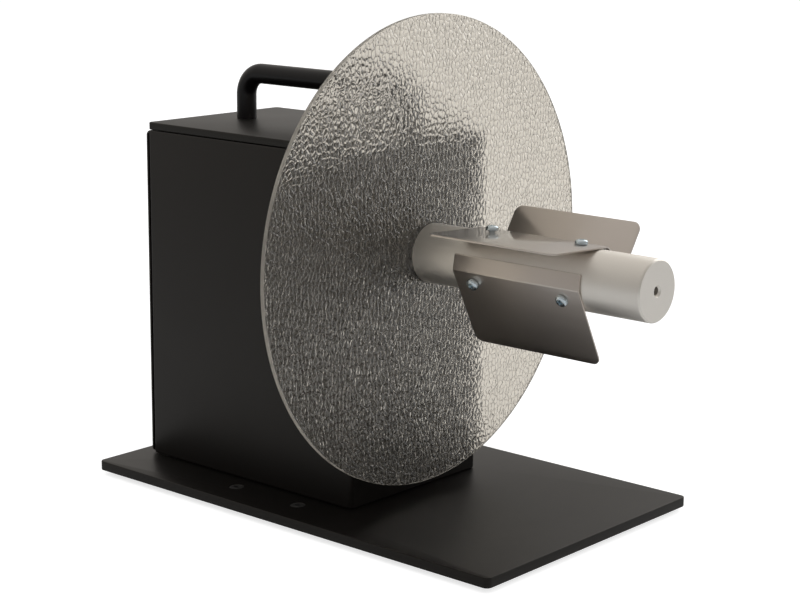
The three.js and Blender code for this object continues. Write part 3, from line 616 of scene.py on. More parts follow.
def soften(form: Form, parts: list, offset: float, segments: int, affect: str = "EDGES") -> None:
    """Rounds edges or corners of a shape.

    Args:
        form: The shape.
        parts: Its edges or corners.
        offset: How far the rounding reaches, in the shape's own unit.
        segments: Its steps.
        affect: EDGES or VERTICES.
    """
    bmesh.ops.bevel(form, geom=parts, offset=offset, offset_type="OFFSET", segments=segments,
                    profile=0.5, affect=affect, material=-1)


def block(low: Vector, high: Vector, corner: float, edge: float, segments: int = 8) -> Form:
    """Makes a plate or a box with rounded upright corners and softened top and bottom edges.

    Args:
        low: Its lowest corner, in metres.
        high: Its highest corner, in metres.
        corner: Radius of the upright corners.
        edge: Radius of the top and bottom edges, or 0 for sharp ones.
        segments: Steps round each corner.

    Returns:
        The closed shape, in metres.
    """
    form = bmesh.new()
    size = high - low
    place = Matrix.Translation((low + high) / 2) @ Matrix.Diagonal((*size, 1.0))
    bmesh.ops.create_cube(form, size=1.0, matrix=place)
    upright = [e for e in form.edges if abs(e.verts[0].co.z - e.verts[1].co.z) > size.z / 2]
    soften(form, upright, corner * MM, segments)
    if edge > 0:
        flat = [e for e in form.edges if abs(e.verts[0].co.z - e.verts[1].co.z) < NEAR]
        soften(form, flat, edge * MM, 3)
    return done(form)


def corners(parts: list) -> list[bmesh.types.BMVert]:
    """Gives the corners among the parts that an operator made."""
    return [p for p in parts if isinstance(p, bmesh.types.BMVert)]


def circle(form: Form, radius: float, segments: int, place: Matrix) -> list[Edge]:
    """Draws a circle in a shape, its radius in metres, and gives its edges."""
    verts = bmesh.ops.create_circle(form, segments=segments, radius=radius, matrix=place)["verts"]
    return list({e for v in verts for e in v.link_edges})


def grow(form: Form, edges: list, step: Vector, size: float = 1.0) -> list[Edge]:
    """Draws edges out into a new strip of faces.

    Args:
        form: The shape.
        edges: The edges.
        step: How far the new ones are from them, in metres.
        size: How much larger the new ones lie about the Z axis.

    Returns:
        The new outer edges.
    """
    grown = bmesh.ops.extrude_edge_only(form, edges=edges)["geom"]
    verts = corners(grown)
    bmesh.ops.scale(form, verts=verts, vec=(size, size, 1.0))
    bmesh.ops.translate(form, verts=verts, vec=step)
    return [g for g in grown if isinstance(g, Edge)
            and g.verts[0] in verts and g.verts[1] in verts]


@dataclass(frozen=True)
class Screw:
    """A screw with a cross in its head, built along -Z, sizes in millimetres."""

    radius: float = 4.0
    head: float = 2.8
    shank: float = 2.0
    taper: float = 0.62
    arm: float = 0.3
    ease: float = 0.12
    steps: int = 24
    dome_steps: int = 6
    dome_flat: float = 0.5
    dome_rise: float = 0.6
    sunk_flat: float = 0.55
    sunk_rim: float = 0.3
    pan_recess: tuple = (0.5, 0.7)  # how much of the head's radius and height the cross takes
    sunk_recess: tuple = (0.36, 0.5)

    def shape(self, outside: Profile, recess: float, depth: float, place: Matrix) -> Form:
        """Makes the screw from its outline, with a cross recess sunk in the flat top of its head.

        Args:
            outside: Points from the flat top down to the tip.
            recess: Half the width of the cross.
            depth: How deep it goes.
            place: Where the screw stands.

        Returns:
            The closed shape, in metres.
        """
        form = bmesh.new()
        top = Matrix.Translation((0, 0, outside[0][1] * MM))
        arm = recess * self.arm * MM
        bmesh.ops.create_grid(form, x_segments=1, y_segments=1, size=arm, matrix=top)
        for edge in list(form.edges):
            out = (edge.verts[0].co + edge.verts[1].co) / 2 - top.translation
            grow(form, [edge], out.normalized() * (recess * MM - arm))
        cross = list(form.faces)
        rim = [e for e in form.edges if e.is_boundary]
        edges = circle(form, outside[0][0] * MM, self.steps, top)
        bmesh.ops.bridge_loops(form, edges=rim + edges)
        floor = corners(bmesh.ops.extrude_face_region(form, geom=cross)["geom"])
        bmesh.ops.delete(form, geom=cross, context="FACES")
        bmesh.ops.translate(form, verts=floor, vec=(0, 0, -depth * MM))
        bmesh.ops.scale(form, verts=floor, vec=(self.taper, self.taper, 1.0))
        for (r0, z0), (r1, z1) in zip(outside, outside[1:]):
            edges = grow(form, edges, Vector((0, 0, (z1 - z0) * MM)), r1 / r0)
        bmesh.ops.contextual_create(form, geom=edges)
        return done(form, place)

    def pan(self, length: float, place: Matrix) -> Form:
        """Makes it with a pan head that stands on z = 0.

        Args:
            length: How far its shank goes down.
            place: Where the screw stands.

        Returns:
            The closed shape, in metres.
        """
        radius, head, shank, flat, rise = self.radius, self.head, self.shank, self.dome_flat, self.dome_rise
        turns = [i * math.pi / (2 * self.dome_steps) for i in range(self.dome_steps + 1)]
        outside = [(radius * (flat + (1 - flat) * math.sin(a)), head * (1 - rise + rise * math.cos(a)))
                   for a in turns]
        outside += [(radius, self.ease), (radius - self.ease, 0.0), (shank, 0.0), (shank, -length)]
        across, down = self.pan_recess
        return self.shape(outside, radius * across, head * down, place)

    def flat(self, length: float, place: Matrix) -> Form:
        """Makes it with a countersunk head whose top lies at z = 0.

        Args:
            length: How long it is in all.
            place: Where the screw stands.

        Returns:
            The closed shape, in metres.
        """
        outside = [(self.radius * self.sunk_flat, 0.0), (self.radius, -self.sunk_rim),
                   (self.shank, -self.head), (self.shank, -length)]
        across, down = self.sunk_recess
        return self.shape(outside, self.radius * across, self.head * down, place)


def shade(piece: Piece, sharp: float = SHARP) -> None:
    """Shades a piece smooth, apart from edges that bend more than so many degrees."""
    piece.data.shade_smooth()
    piece.data.set_sharp_from_angle(angle=math.radians(sharp))


def as_object(name: str, form: Form, sharp: float = SHARP) -> Piece:
    """Makes an object at the origin from a shape.

    Args:
        name: Its name.
        form: The shape, which is freed.
        sharp: Edges that bend more than this many degrees stay sharp.

    Returns:
        The new object.
    """
    mesh = bpy.data.meshes.new(name)
    form.to_mesh(mesh)
    form.free()
    made = bpy.data.objects.new(name, mesh)
    bpy.context.scene.collection.objects.link(made)
    shade(made, sharp)
    return made


def carve(piece: Piece, form: Form) -> None:
    """Cuts a closed shape out of a piece.

    Args:
        piece: The piece.
        form: The shape, which is freed.
    """
    cutter = as_object("cutter", form)
    cut = piece.modifiers.new("cut", "BOOLEAN")
    cut.object = cutter
    cut.operation = "DIFFERENCE"
    cut.solver = "EXACT"
    graph = bpy.context.evaluated_depsgraph_get()
    mesh = bpy.data.meshes.new_from_object(piece.evaluated_get(graph))
    piece.modifiers.clear()
    piece.data = mesh
    bpy.data.objects.remove(cutter)
    shade(piece)


def add_piece(name: str, form: Form, finish: Finish, body: Body, *nodes: str, cutters: tuple = (),
              sharp: float = SHARP) -> Piece:
    """Makes a finished piece in the place of nodes of the frame.

    Args:
        name: Its name.
        form: Its shape, which is freed.
        finish: Its finish.
        body: The body that it moves with.
        nodes: The nodes that it stands for.
        cutters: Shapes to cut out of it.
        sharp: Edges that bend more than this many degrees stay sharp.

    Returns:
        The new object.
    """
    piece = as_object(name, form, sharp)
    for cutter in cutters:
        carve(piece, cutter)
    piece.data.materials.clear()
    piece.data.materials.append(finish.material())
    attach(piece, body.value)
    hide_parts(*nodes)
    log.info("%s stands for %s, %d faces", name, ", ".join(nodes), len(piece.data.polygons))
    return piece


def dress(finish: Finish, *nodes: str) -> None:
    """Gives nodes of the frame a finish.

    Args:
        finish: The finish.
        nodes: Their names.
    """
    for name in nodes:
        node = frame["nodes"][name]
        node.data.materials.clear()
        node.data.materials.append(finish.material())
        log.info("%s wears %s", name, finish.name)


def numbered(stem: str, count: int) -> list[str]:
    """Gives the names of a run of like nodes."""
    return [f"{stem}_{i + 1}" for i in range(count)]


def node_middle(name: str) -> Vector:
    """Gives the middle of a node's box."""
    low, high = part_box(name)
    return (low + high) / 2


def node_length(name: str, axis: str = "y") -> float:
    """Gives a node's length along an axis, in millimetres."""
    low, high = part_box(name)
    return (getattr(high, axis) - getattr(low, axis)) / MM


@dataclass
class Base:
    """The base plate, its rubber feet and the two flush screws beside the box."""

    corner: float = 4.0
    edge: float = 0.5
    foot_edge: float = 0.8
    foot_taper: float = 1.0
    hole_room: float = 0.15
    hole_depth: float = 9.0
    hole_steps: int = 32
    flush: Screw = Screw(4.8, 2.6, 2.5)
    housing: Screw = Screw(4.0, 2.2)

    def build(self) -> None:
        """Makes all the pieces."""
        self.plate()
        self.feet()
        self.screws()

    def countersinks(self, stem: str, count: int, screw: Screw, height: float, way: Axis) -> list[Form]:
        """Makes the cutters for the countersunk holes of like screws.

        Args:
            stem: The stem of the screws' names.
            count: How many there are.
            screw: The screw.
            height: The height of the heads' tops, in metres.
            way: The direction that the heads face.

        Returns:
            The cutters.
        """
        wide = screw.radius + self.hole_room
        narrow, depth = wide - screw.head, self.hole_depth
        shape = [(0, 1), (wide + 1, 1), (narrow, -screw.head), (narrow, -depth), (0, -depth)]
        middles = [node_middle(name) for name in numbered(stem, count)]
        return [lathe(shape, self.hole_steps, way.at(m.x, m.y, height)) for m in middles]

    def plate(self) -> None:
        """Makes the plate with its rounded corners and the holes for the flush and lower screws."""
        low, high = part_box("base_plate")
        holes = (*self.countersinks("accessory_screw", 2, self.flush, high.z, Axis.UP),
                 *self.countersinks("housing_screw", 4, self.housing, low.z, Axis.DOWN),
                 *self.countersinks("frame_screw", 4, self.flush, low.z, Axis.DOWN))
        add_piece("base_plate_coated", block(low, high, self.corner, self.edge), Finishes.PLATE, Body.BASE,
                  "base_plate", cutters=holes)

    def feet(self) -> None:
        """Makes the four feet, a little smaller at the floor."""
        for i, name in enumerate(numbered("foot", 4)):
            middle, low = node_middle(name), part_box(name)[0]
            radius, height = node_length(name, "x") / 2, node_length(name, "z")
            under, edge = radius - self.foot_taper, self.foot_edge
            shape = [(0, 0), (under - edge, 0), (under, edge / 2), (radius, height), (0, height)]
            form = lathe(shape, ROUND, Axis.UP.at(middle.x, middle.y, low.z))
            add_piece(f"rubber_foot_{i + 1}", form, Finishes.RUBBER, Body.BASE, name)

    def screws(self) -> None:
        """Makes the two flush screws, and dresses the ones under the plate."""
        for i, name in enumerate(numbered("accessory_screw", 2)):
            middle, high = node_middle(name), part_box(name)[1]
            form = self.flush.flat(node_length(name, "z"), Axis.UP.at(middle.x, middle.y, high.z))
            add_piece(f"flush_screw_{i + 1}", form, Finishes.DULL_ZINC, Body.BASE, name)
        dress(Finishes.ZINC, *numbered("housing_screw", 4), *numbered("frame_screw", 4))


@dataclass
class Housing:
    """The folded box, its lid, its rear panel and the carry handle."""

    corner: float = 3.0
    inner_corner: float = 1.0
    sheet: float = 2.0
    fold: float = 0.9
    mouth: float = 13.0
    flange: float = 14.0
    flange_corner: float = 0.5
    lid_corner: float = 2.5
    lid_edge: float = 0.7
    panel_corner: float = 3.0
    panel_edge: float = 0.3
    shaft_hole: float = 9.0
    handle_radius: float = 6.7
    bend: float = 15.0
    ring: int = 40
    bend_steps: int = 18
    screw: Screw = Screw()

    def build(self) -> None:
        """Makes all the pieces."""
        self.shell()
        self.lid()
        self.panel()
        self.handle()
        self.panel_screws()
        dress(Finishes.ZINC, *numbered("top_plate_screw", 4), *numbered("handle_bolt", 2))

    def shell(self) -> None:
        """Makes the folded sheet box, open at the rear between its flanges."""
        low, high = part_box("housing_shell")
        wall, reach = Vector((1, 1, 1)) * self.sheet * MM, self.flange * MM
        hollow = block(low + wall, high - wall, self.inner_corner, 0.0)
        opening = block(low + wall + Vector((reach, reach, -reach)) - Vector((0, 0, wall.z)),
                              high - Vector((wall.x, 0, 0)) + Vector((-reach, reach, reach)),
                              self.flange_corner, 0.0, 2)
        mouth = rod(self.mouth, -THROUGH, THROUGH, Axis.FRONT.at(0, low.y, SPINDLE_AXIS.z))
        add_piece("housing_coated", block(low, high, self.corner, self.fold), Finishes.SHADED_SHELL, Body.BASE,
                  "housing_shell", cutters=(hollow, opening, mouth))

    def lid(self) -> None:
        """Makes the top plate."""
        form = block(*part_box("top_plate"), self.lid_corner, self.lid_edge)
        add_piece("lid_coated", form, Finishes.LID, Body.BASE, "top_plate")

    def panel(self) -> None:
        """Makes the rear panel with the hole for the crank shaft."""
        low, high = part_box("rear_panel")
        size = high - low
        half = Vector((size.x, size.z, size.y)) / 2
        form = block(-half, half, self.panel_corner, self.panel_edge)
        hole = rod(self.shaft_hole, -THROUGH, THROUGH, Axis.REAR.at(CRANK_AXIS.x, low.y, CRANK_AXIS.z))
        add_piece("rear_panel_coated", done(form, Axis.REAR.at(*(low + high) / 2)), Finishes.SHADED_SHELL, Body.BASE,
                  "rear_panel", cutters=(hole,))

    def handle(self) -> None:
        """Makes the carry handle: up from the lid, round a bend, along, and down again."""
        low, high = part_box("carry_handle")
        bend, radius = self.bend * MM, self.handle_radius * MM
        leg, far, top = low.y + radius, high.y - radius, high.z - radius
        form = bmesh.new()
        edges = circle(form, radius, self.ring, Axis.UP.at(0, leg, low.z))
        edges = grow(form, edges, Vector((0, 0, top - bend - low.z)))
        edges = self.turn(form, edges, Vector((0, leg + bend, top - bend)))
        edges = grow(form, edges, Vector((0, far - leg - 2 * bend, 0)))
        edges = self.turn(form, edges, Vector((0, far - bend, top - bend)))
        grow(form, edges, Vector((0, 0, low.z - top + bend)))
        bmesh.ops.remove_doubles(form, verts=form.verts, dist=NEAR)
        bmesh.ops.holes_fill(form, edges=[e for e in form.edges if e.is_boundary], sides=0)
        add_piece("carry_handle_bar", done(form), Finishes.HANDLE, Body.BASE, "carry_handle")

    def turn(self, form: Form, edges: list, centre: Vector) -> list[Edge]:
        """Sweeps a ring of edges round a quarter bend.

        Args:
            form: The shape.
            edges: The ring.
            centre: The middle of the bend.

        Returns:
            The new end ring.
        """
        swept = bmesh.ops.spin(form, geom=edges, cent=centre, axis=(1, 0, 0), angle=-math.pi / 2,
                               steps=self.bend_steps)
        return [g for g in swept["geom_last"] if isinstance(g, Edge)]

    def panel_screws(self) -> None:
        """Makes the pan head screws that hold the rear panel."""
        for i, name in enumerate(numbered("rear_panel_screw", 4)):
            middle, seat = node_middle(name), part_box(name)[1].y - self.screw.head * MM
            form = self.screw.pan(node_length(name) - self.screw.head, Axis.REAR.at(middle.x, seat, middle.z))
            add_piece(f"panel_screw_{i + 1}", form, Finishes.ZINC, Body.BASE, name)


@dataclass
class BearingFrame:
    """The hidden plates, rods, bearings and bushes that carry the two shafts."""

    plates: tuple = ("frame_plate_front", "frame_plate_rear")
    bearings: tuple = ("spindle_bearing_front", "spindle_bearing_rear")
    bushes: tuple = ("crank_bush_front", "crank_bush_rear")

    def build(self) -> None:
        """Dresses the pieces."""
        dress(Finishes.FRAME, *self.plates)
        dress(Finishes.GEAR, *numbered("frame_spacer", 2), *self.bearings)
        dress(Finishes.BRONZE, *self.bushes)


@dataclass
class Disc:
    """The clear side disc: a pebbled front with a plain seat for the mandrel, a flat back, a sawn rim."""

    bore: float = 10.5
    seat: float = 19.6
    seat_depth: float = 0.5
    rim: float = 0.25
    fade: float = 0.5
    near: float = 0.01
    segments: int = 288
    rings: int = 12

    def build(self) -> None:
        """Makes the disc."""
        radius, thickness = node_length("flange_disc", "x") / 2, node_length("flange_disc")
        outer, inner = radius - self.rim - self.fade, self.seat + self.fade
        floor = thickness - self.seat_depth
        face = [(inner + (outer - inner) * i / self.rings, thickness) for i in range(self.rings + 1)]
        shape = [(self.bore, 0), (self.bore, floor), (self.seat, floor), (self.seat, thickness), *face,
                 (radius - self.rim, thickness), (radius, thickness - self.rim), (radius, self.rim),
                 (radius - self.rim, 0), (self.bore, 0)]
        form = lathe(shape, self.segments)
        pebbled = [float(v.co.z > (thickness - self.near) * MM
                         and inner - self.near < v.co.xy.length / MM < outer + self.near) for v in form.verts]
        sawn = [float(v.co.xy.length > (radius - self.near) * MM) for v in form.verts]
        done(form, Axis.FRONT.at(0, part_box("flange_disc")[1].y, SPINDLE_AXIS.z))
        piece = add_piece("flange_disc_pebbled", form, Finishes.ACRYLIC, Body.SPINDLE, "flange_disc")
        for name, values in ((Finishes.ACRYLIC.pebbled, pebbled), (Finishes.ACRYLIC.sawn, sawn)):
            piece.data.attributes.new(name, "FLOAT", "POINT").data.foreach_set("value", values)


@dataclass
class Wing:
    """One bent sheet wing and its two screws. In its own frame +X goes outward and +Z along the flap."""

    index: int
    turn: float
    radius: float
    seat: float = 0.3
    sheet: float = 1.0
    flap: float = 48.0
    bend_back: float = 6.5
    lip: float = 10.0
    fold: float = 1.0
    fold_steps: int = 8
    corner: float = 5.5
    corner_steps: int = 10
    lip_corner: float = 1.0
    lip_steps: int = 4
    edge: float = 0.12
    border_bend: float = 1.2
    screw: Screw = Screw()
    screw_offset: float = 1.3
    screw_bite: float = 8.0
    screw_spot: float = 25.0
    screw_spot_step: float = 47.0

    def build(self) -> None:
        """Makes the sheet and the screws."""
        self.bent_sheet()
        self.screws()

    def place(self, station: float) -> Matrix:
        """Gives the turn from the wing's own frame to a distance along Y, in metres."""
        return Matrix.Translation((0, station, SPINDLE_AXIS.z)) @ Matrix.Rotation(-self.turn, 4, "Y")

    def bend(self) -> tuple[float, float, float]:
        """Works out the bend.

        Returns:
            Where it starts along the sheet, its length at mid-thickness and its angle.
        """
        inner = self.radius + self.seat
        angle = 2 * math.atan(self.bend_back / inner)
        return -(inner - self.fold) * math.tan(angle / 2), (self.fold + self.sheet / 2) * angle, angle

    def bent(self, along: float, lift: float) -> tuple[float, float]:
        """Gives where a point of the flat sheet goes when the sheet is bent.

        Args:
            along: Its distance along the flap from the tangent point, in millimetres.
            lift: Its height over the sheet's inner face, in millimetres.

        Returns:
            Its place out from the spindle and along the flap, in millimetres.
        """
        start, arc, bend = self.bend()
        inner = self.radius + self.seat
        past = start - along
        if past <= 0:
            return inner + lift, along
        angle = min(past / arc, 1.0) * bend
        reach, rest = self.fold + lift, max(past - arc, 0.0)
        x = inner - self.fold + reach * math.cos(angle) - rest * math.sin(angle)
        return x, start - reach * math.sin(angle) - rest * math.cos(angle)

    def bent_sheet(self) -> None:
        """Makes the sheet: flat with rounded outer corners, then bent along one line."""
        name = f"core_wing_{self.index + 1}"
        length = node_length(name)
        start, arc, _ = self.bend()
        lip_end = 2 * start - arc - (self.lip - self.bend_back)
        middle, half = (self.flap + lip_end) / 2, (self.flap - lip_end) / 2
        form = bmesh.new()
        bmesh.ops.create_grid(form, x_segments=1, y_segments=1, size=1.0)
        bmesh.ops.scale(form, verts=form.verts, vec=(half, length / 2, 1.0))
        bmesh.ops.translate(form, verts=form.verts, vec=(middle, -length / 2, 0))
        outer = [v for v in form.verts if v.co.x > middle]
        soften(form, outer, self.corner, self.corner_steps, "VERTICES")
        inner = [v for v in form.verts if v.co.x < middle]
        soften(form, inner, self.lip_corner, self.lip_steps, "VERTICES")
        for i in range(self.fold_steps + 1):
            line = start - arc * i / self.fold_steps
            bmesh.ops.bisect_plane(form, geom=form.verts[:] + form.edges[:] + form.faces[:], dist=1e-5,
                                   plane_co=(line, 0, 0), plane_no=(1, 0, 0))
        top = bmesh.ops.extrude_face_region(form, geom=form.faces[:])["geom"]
        bmesh.ops.translate(form, verts=corners(top), vec=(0, 0, self.sheet))
        done(form)
        border = [e for e in form.edges if len(e.link_faces) == 2 and e.calc_face_angle(0) > self.border_bend]
        soften(form, border, self.edge, 2)
        for v in form.verts:
            x, z = self.bent(v.co.x, v.co.z)
            v.co = (x * MM, v.co.y * MM, z * MM)
        done(form, self.place(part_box(name)[1].y))
        add_piece(f"{name}_sheet", form, Finishes.WING, Body.SPINDLE, name)

    def screws(self) -> None:
        """Makes the two pan head screws."""
        seat = self.radius + 2 * self.seat + self.sheet
        foot = Matrix.Translation((seat * MM, 0, self.screw_offset * MM))
        stand = foot @ Matrix.Rotation(math.pi / 2, 4, "Y")
        for number in (2 * self.index + 1, 2 * self.index + 2):
            name = f"wing_screw_{number}"
            spot = math.radians(self.screw_spot + (number - 1) * self.screw_spot_step)
            place = self.place(node_middle(name).y) @ stand @ Matrix.Rotation(spot, 4, "Z")
            form = self.screw.pan(seat - self.radius + self.screw_bite, place)
            add_piece(f"wing_screw_pan_{number}", form, Finishes.ZINC, Body.SPINDLE, name)


@dataclass
class Mandrel:
    """The turned bar that the roll's core slides over, with its wings."""

    radius: float = 19.0
    segments: int = 144
    sharp: float = 28.0
    chamfer: float = 1.0
    ease: float = 0.2
    ease_end: tuple = (0.15, 0.1)
    socket: float = 7.8
    socket_depth: float = 48.0
    hole: float = 2.45
    hole_mouth: float = 3.7
    hole_depth: float = 14.0
    first_angle: float = 207.0
    wings: int = 3

    def build(self) -> None:
        """Makes the bar and the wings."""
        self.bar()
        for i in range(self.wings):
            Wing(i, math.radians(self.first_angle) - i * 2 * math.pi / self.wings, self.radius).build()

    def bar(self) -> None:
        """Makes the bar with its chamfers, its centre hole and the socket for the shaft."""
        length, high = node_length("mandrel"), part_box("mandrel")[1]
        mouth, radius, ease = self.hole_mouth - self.hole, self.radius, self.ease
        shoulder = length - self.chamfer
        inward, outward = self.ease_end
        shape = [(0, length - self.hole_depth), (self.hole, length - self.hole_depth),
                 (self.hole, length - mouth), (self.hole_mouth, length), (radius - self.chamfer, length),
                 (radius - inward, shoulder + outward), (radius, shoulder - ease), (radius, ease),
                 (radius - ease, 0), (self.socket, 0), (self.socket, self.socket_depth),
                 (0, self.socket_depth)]
        form = lathe(shape, self.segments, Axis.FRONT.at(0, high.y, SPINDLE_AXIS.z))
        add_piece("mandrel_turned", form, Finishes.MANDREL, Body.SPINDLE, "mandrel", sharp=self.sharp)


@dataclass
class Spindle:
    """The shaft, its gear, the hub behind the disc, the disc and the mandrel."""

    disc: Disc = field(default_factory=Disc)
    mandrel: Mandrel = field(default_factory=Mandrel)

    def build(self) -> None:
        """Makes and dresses all the pieces."""
        self.disc.build()
        self.mandrel.build()
        dress(Finishes.SPINDLE, "spindle_shaft")
        dress(Finishes.GEAR, "spindle_gear")
        dress(Finishes.HUB, "disc_hub")
        dress(Finishes.ZINC, *numbered("hub_screw", 3))


@dataclass
class Crank:
    """The crank shaft with its gear, the arm on the rear face and the grip on its pin."""

    shaft: float = 6.0
    shaft_edge: float = 0.8
    centre_mark: float = 1.6
    seat: float = 0.3
    pin_rivet: float = 3.0
    pin: float = 4.0
    pin_head: float = 6.5
    pin_head_rise: float = 2.0
    pin_dome: tuple = ((1.0, 1.4), (0.86, 0.35), (0.55, 0.05))  # share of its radius, depth under its top
    grip_bore: float = 4.3
    grip_neck: float = 8.5
    grip_belly: float = 12.0
    grip_belly_at: float = 36.0
    grip_end: float = 8.0
    grip_lead: float = 2.0
    grip_edge: float = 1.2
    grip_round: int = 96
    steps: int = 8

    def build(self) -> None:
        """Makes and dresses all the pieces."""
        self.crank_shaft()
        self.grip_pin()
        self.grip()
        dress(Finishes.GEAR, "crank_gear")
        dress(Finishes.ARM, "crank_arm")

    @staticmethod
    def turned(node: str, shape: Profile, segments: int, finish: Finish, body: Body) -> None:
        """Makes a piece that is turned about an axis towards the rear.

        Args:
            node: The node that it stands for.
            shape: Its profile from the node's front end.
            segments: How many steps a full turn has.
            finish: Its finish.
            body: The body that it moves with.
        """
        axis = CRANK_AXIS if node == "crank_shaft" else GRIP_AXIS
        form = lathe(shape, segments, Axis.REAR.at(axis.x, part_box(node)[0].y, axis.z))
        add_piece(f"{node}_turned", form, finish, body, node)

    def crank_shaft(self) -> None:
        """Makes the shaft, whose chamfered end shows in the arm."""
        length, edge, mark = node_length("crank_shaft"), self.shaft_edge, self.centre_mark
        shape = [(0, 0), (self.shaft - edge, 0), (self.shaft, edge), (self.shaft, length - edge),
                 (self.shaft - edge, length), (mark, length), (0, length - mark)]
        self.turned("crank_shaft", shape, ROUND, Finishes.CRANKSHAFT, Body.CRANK)

    def grip_pin(self) -> None:
        """Makes the grip's pin with its domed head."""
        length, head = node_length("grip_pin"), self.pin_head
        shoulder = (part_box("crank_arm")[1].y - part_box("grip_pin")[0].y) / MM + self.seat
        under = length - self.pin_head_rise
        shape = [(0, 0), (self.pin_rivet, 0), (self.pin_rivet, shoulder), (self.pin, shoulder),
                 (self.pin, under), (head, under),
                 *((head * part, length - low) for part, low in self.pin_dome), (0, length)]
        self.turned("grip_pin", shape, ROUND, Finishes.PIN, Body.CRANK)

    def grip(self) -> None:
        """Makes the grip with a smooth swelling side."""
        length = node_length("crank_grip")
        shape = [(self.grip_bore, 0), *self.grip_side(length), (self.grip_bore, length), (self.grip_bore, 0)]
        self.turned("crank_grip", shape, self.grip_round, Finishes.GRIP, Body.GRIP)

    def grip_side(self, length: float) -> Profile:
        """Draws the grip's side: a smooth curve over neck, belly and end, with its two rims eased.

        Args:
            length: The grip's length, in millimetres.

        Returns:
            The side's profile.
        """
        neck, belly, end, lead, edge = (
            self.grip_neck, self.grip_belly, self.grip_end, self.grip_lead, self.grip_edge)
        points = [Vector(p) for p in (
            (neck, lead), ((neck + belly) / 2, self.grip_belly_at / 2), (belly, self.grip_belly_at),
            ((belly + end + lead) / 2, length - 2 * lead), (end + edge / 4, length - edge / 2))]
        ends = [2 * points[0] - points[1], *points, 2 * points[-1] - points[-2]]
        curve = []
        for a, b, c, d in zip(ends, ends[1:], ends[2:], ends[3:]):
            for i in range(self.steps):
                t = i / self.steps
                curve.append(0.5 * (2 * b + (c - a) * t + (2 * a - 5 * b + 4 * c - d) * t ** 2
                                    + (3 * b - a - 3 * c + d) * t ** 3))
        return [(neck - edge, 0), (neck - edge / 4, edge / 2), *((p.x, p.y) for p in [*curve, points[-1]]),
                (end - edge, length)]


@dataclass(frozen=True)
class Lamp:
    """A soft lamp of the studio, sizes in metres and power in watts."""

    name: str
    place: tuple
    width: float
    height: float
    power: float
    mirrored: bool = False

    def build(self, target: Vector) -> None:
        """Makes the lamp.

        Args:
            target: The point that it faces, in metres.
        """
        data = bpy.data.lights.new(self.name, "AREA")
        data.shape = "RECTANGLE"
        data.size, data.size_y = self.width, self.height
        data.energy = self.power
        lamp = bpy.data.objects.new(self.name, data)
        lamp.location = self.place
        lamp.rotation_euler = (target - Vector(self.place)).to_track_quat("-Z", "Y").to_euler()
        lamp.visible_glossy = self.mirrored
        lamp.visible_transmission = False
        bpy.context.scene.collection.objects.link(lamp)


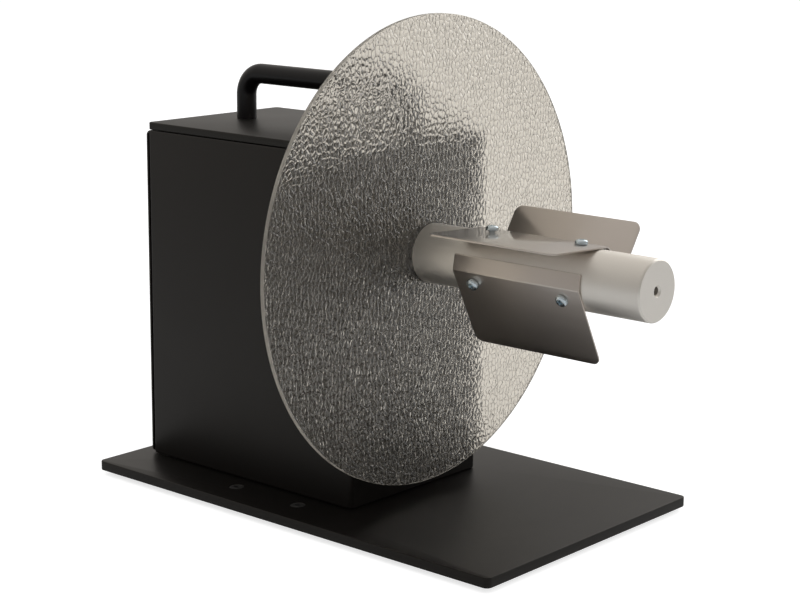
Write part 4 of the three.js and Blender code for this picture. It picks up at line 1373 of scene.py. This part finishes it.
@dataclass(frozen=True)
class Studio:
    """The floor, the world and the lamps."""

    floor_radius: float = 30.0
    floor_drop: float = 0.0003
    floor_steps: int = 96
    floor_colour: Colour = (0.58, 0.58, 0.577)
    floor_glow: float = 0.74
    floor_mirrored: float = 0.09
    floor_bright_from: float = -0.6
    floor_bright_to: float = 0.5
    ambient: float = 0.55
    dim: float = 0.28
    bright: float = 0.55
    dim_until: float = -0.7
    bright_from: float = 0.9
    overhead: float = 0.15
    backdrop: tuple = (0.5, 0.86, 0.0)
    warmth: Colour = (1.0, 0.955, 0.90)
    lamps: tuple = (
        Lamp("key_lamp", (-1.5, -1.7, 2.3), 2.2, 2.2, 30.0),
        Lamp("rear_lamp", (0.4, 2.4, 2.2), 2.4, 2.4, 14.0),
        Lamp("side_lamp", (2.5, -0.1, 1.4), 1.6, 2.6, 18.0, mirrored=True),
    )
    target: tuple = (0.0, 0.0, 0.15)

    def build(self) -> None:
        """Makes the stage."""
        self.floor()
        self.world()
        for lamp in self.lamps:
            lamp.build(Vector(self.target))

    def floor(self) -> None:
        """Makes the pale floor, which shows white and keeps the object's shadow."""
        form = bmesh.new()
        bmesh.ops.create_circle(form, cap_ends=True, segments=self.floor_steps, radius=self.floor_radius,
                                matrix=Matrix.Translation((0, 0, -self.floor_drop)))
        floor = as_object("floor", form)
        material = bpy.data.materials.new("pale_floor")
        material.use_nodes = True
        material.node_tree.nodes.clear()
        graph = Graph(material.node_tree)
        seen, glossy = graph.white_rays()
        direct = graph.math("MULTIPLY", seen, self.floor_glow)
        across = graph.parts(graph.object_coordinates())["X"]
        rise = graph.spread(across, 0.0, self.floor_mirrored, self.floor_bright_from, self.floor_bright_to,
                            "SMOOTHSTEP")
        bounced = graph.math("MULTIPLY", glossy, graph.math("SUBTRACT", 1.0, seen))
        strength = graph.math("MULTIPLY_ADD", bounced, rise, direct)
        matt = graph.add("BsdfDiffuse", {"Color": (*self.floor_colour, 1.0)})
        glow = graph.add("Emission", {"Color": WHITE, "Strength": strength})
        both = graph.add("AddShader", {0: matt.outputs[0], 1: glow.outputs[0]})
        graph.add("OutputMaterial", {"Surface": both.outputs[0]})
        floor.data.materials.append(material)

    def world(self) -> None:
        """Makes the world: white where it is seen, a softer light, and a bright backdrop in reflections."""
        world = bpy.data.worlds.new("studio")
        world.use_nodes = True
        world.node_tree.nodes.clear()
        bpy.context.scene.world = world
        graph = Graph(world.node_tree)
        way = graph.add("TexCoord").outputs["Generated"]
        toward = graph.add("VectorMath", {0: way, 1: self.backdrop}, operation="DOT_PRODUCT").outputs["Value"]
        sides = graph.spread(toward, self.dim, self.bright, self.dim_until, self.bright_from, "SMOOTHSTEP")
        height = graph.math("MAXIMUM", graph.parts(way)["Z"], 0.0)
        sky = graph.math("MINIMUM", graph.math("MULTIPLY_ADD", height, self.overhead, sides), 1.0)
        white = graph.add("Background", {"Color": WHITE, "Strength": 1.0})
        light = graph.add("Background", {"Color": WHITE, "Strength": self.ambient})
        mirror = graph.add("Background", {"Color": (*self.warmth, 1.0), "Strength": sky})
        seen, glossy = graph.white_rays()
        lit = graph.add("MixShader", {0: glossy, 1: light.outputs[0], 2: mirror.outputs[0]})
        shown = graph.add("MixShader", {0: seen, 1: lit.outputs[0], 2: white.outputs[0]})
        graph.add("OutputWorld", {"Surface": shown.outputs[0]})


@dataclass(frozen=True)
class PhotoCamera:
    """The camera that the photograph was taken with: angles in degrees, its place in metres."""

    azimuth: float = -48.962
    elevation: float = 12.389
    roll: float = 0.507
    lens: float = 87.545
    sensor: float = 36.0
    reach: float = 100.0
    place: tuple = (-0.92462, -0.82915, 0.40269)

    def build(self) -> None:
        """Makes the camera and gives it to the scene."""
        turn, rise, roll = (math.radians(a) for a in (self.azimuth, self.elevation, self.roll))
        back = Vector((math.sin(turn) * math.cos(rise), -math.cos(turn) * math.cos(rise), math.sin(rise)))
        level = Vector((math.cos(turn), math.sin(turn), 0))
        upward = back.cross(level)
        right = math.cos(roll) * level + math.sin(roll) * upward
        up = math.cos(roll) * upward - math.sin(roll) * level
        data = bpy.data.cameras.new("photo_camera")
        data.lens = self.lens
        data.sensor_width = self.sensor
        data.clip_end = self.reach
        camera = bpy.data.objects.new("photo_camera", data)
        camera.matrix_world = Matrix.Translation(self.place) @ Matrix((right, up, back)).transposed().to_4x4()
        bpy.context.scene.collection.objects.link(camera)
        bpy.context.scene.camera = camera


def main() -> None:
    """Builds the camera, the machine and its studio, in that order."""
    logging.basicConfig(level=logging.INFO, format="%(name)s: %(message)s")
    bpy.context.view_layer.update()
    PhotoCamera().build()
    for part in (Base(), Housing(), BearingFrame(), Spindle(), Crank()):
        log.info("building %s", type(part).__name__)
        part.build()
    Studio().build()
    bpy.context.scene.view_settings.view_transform = "Standard"


if __name__ == "__main__":
    main()
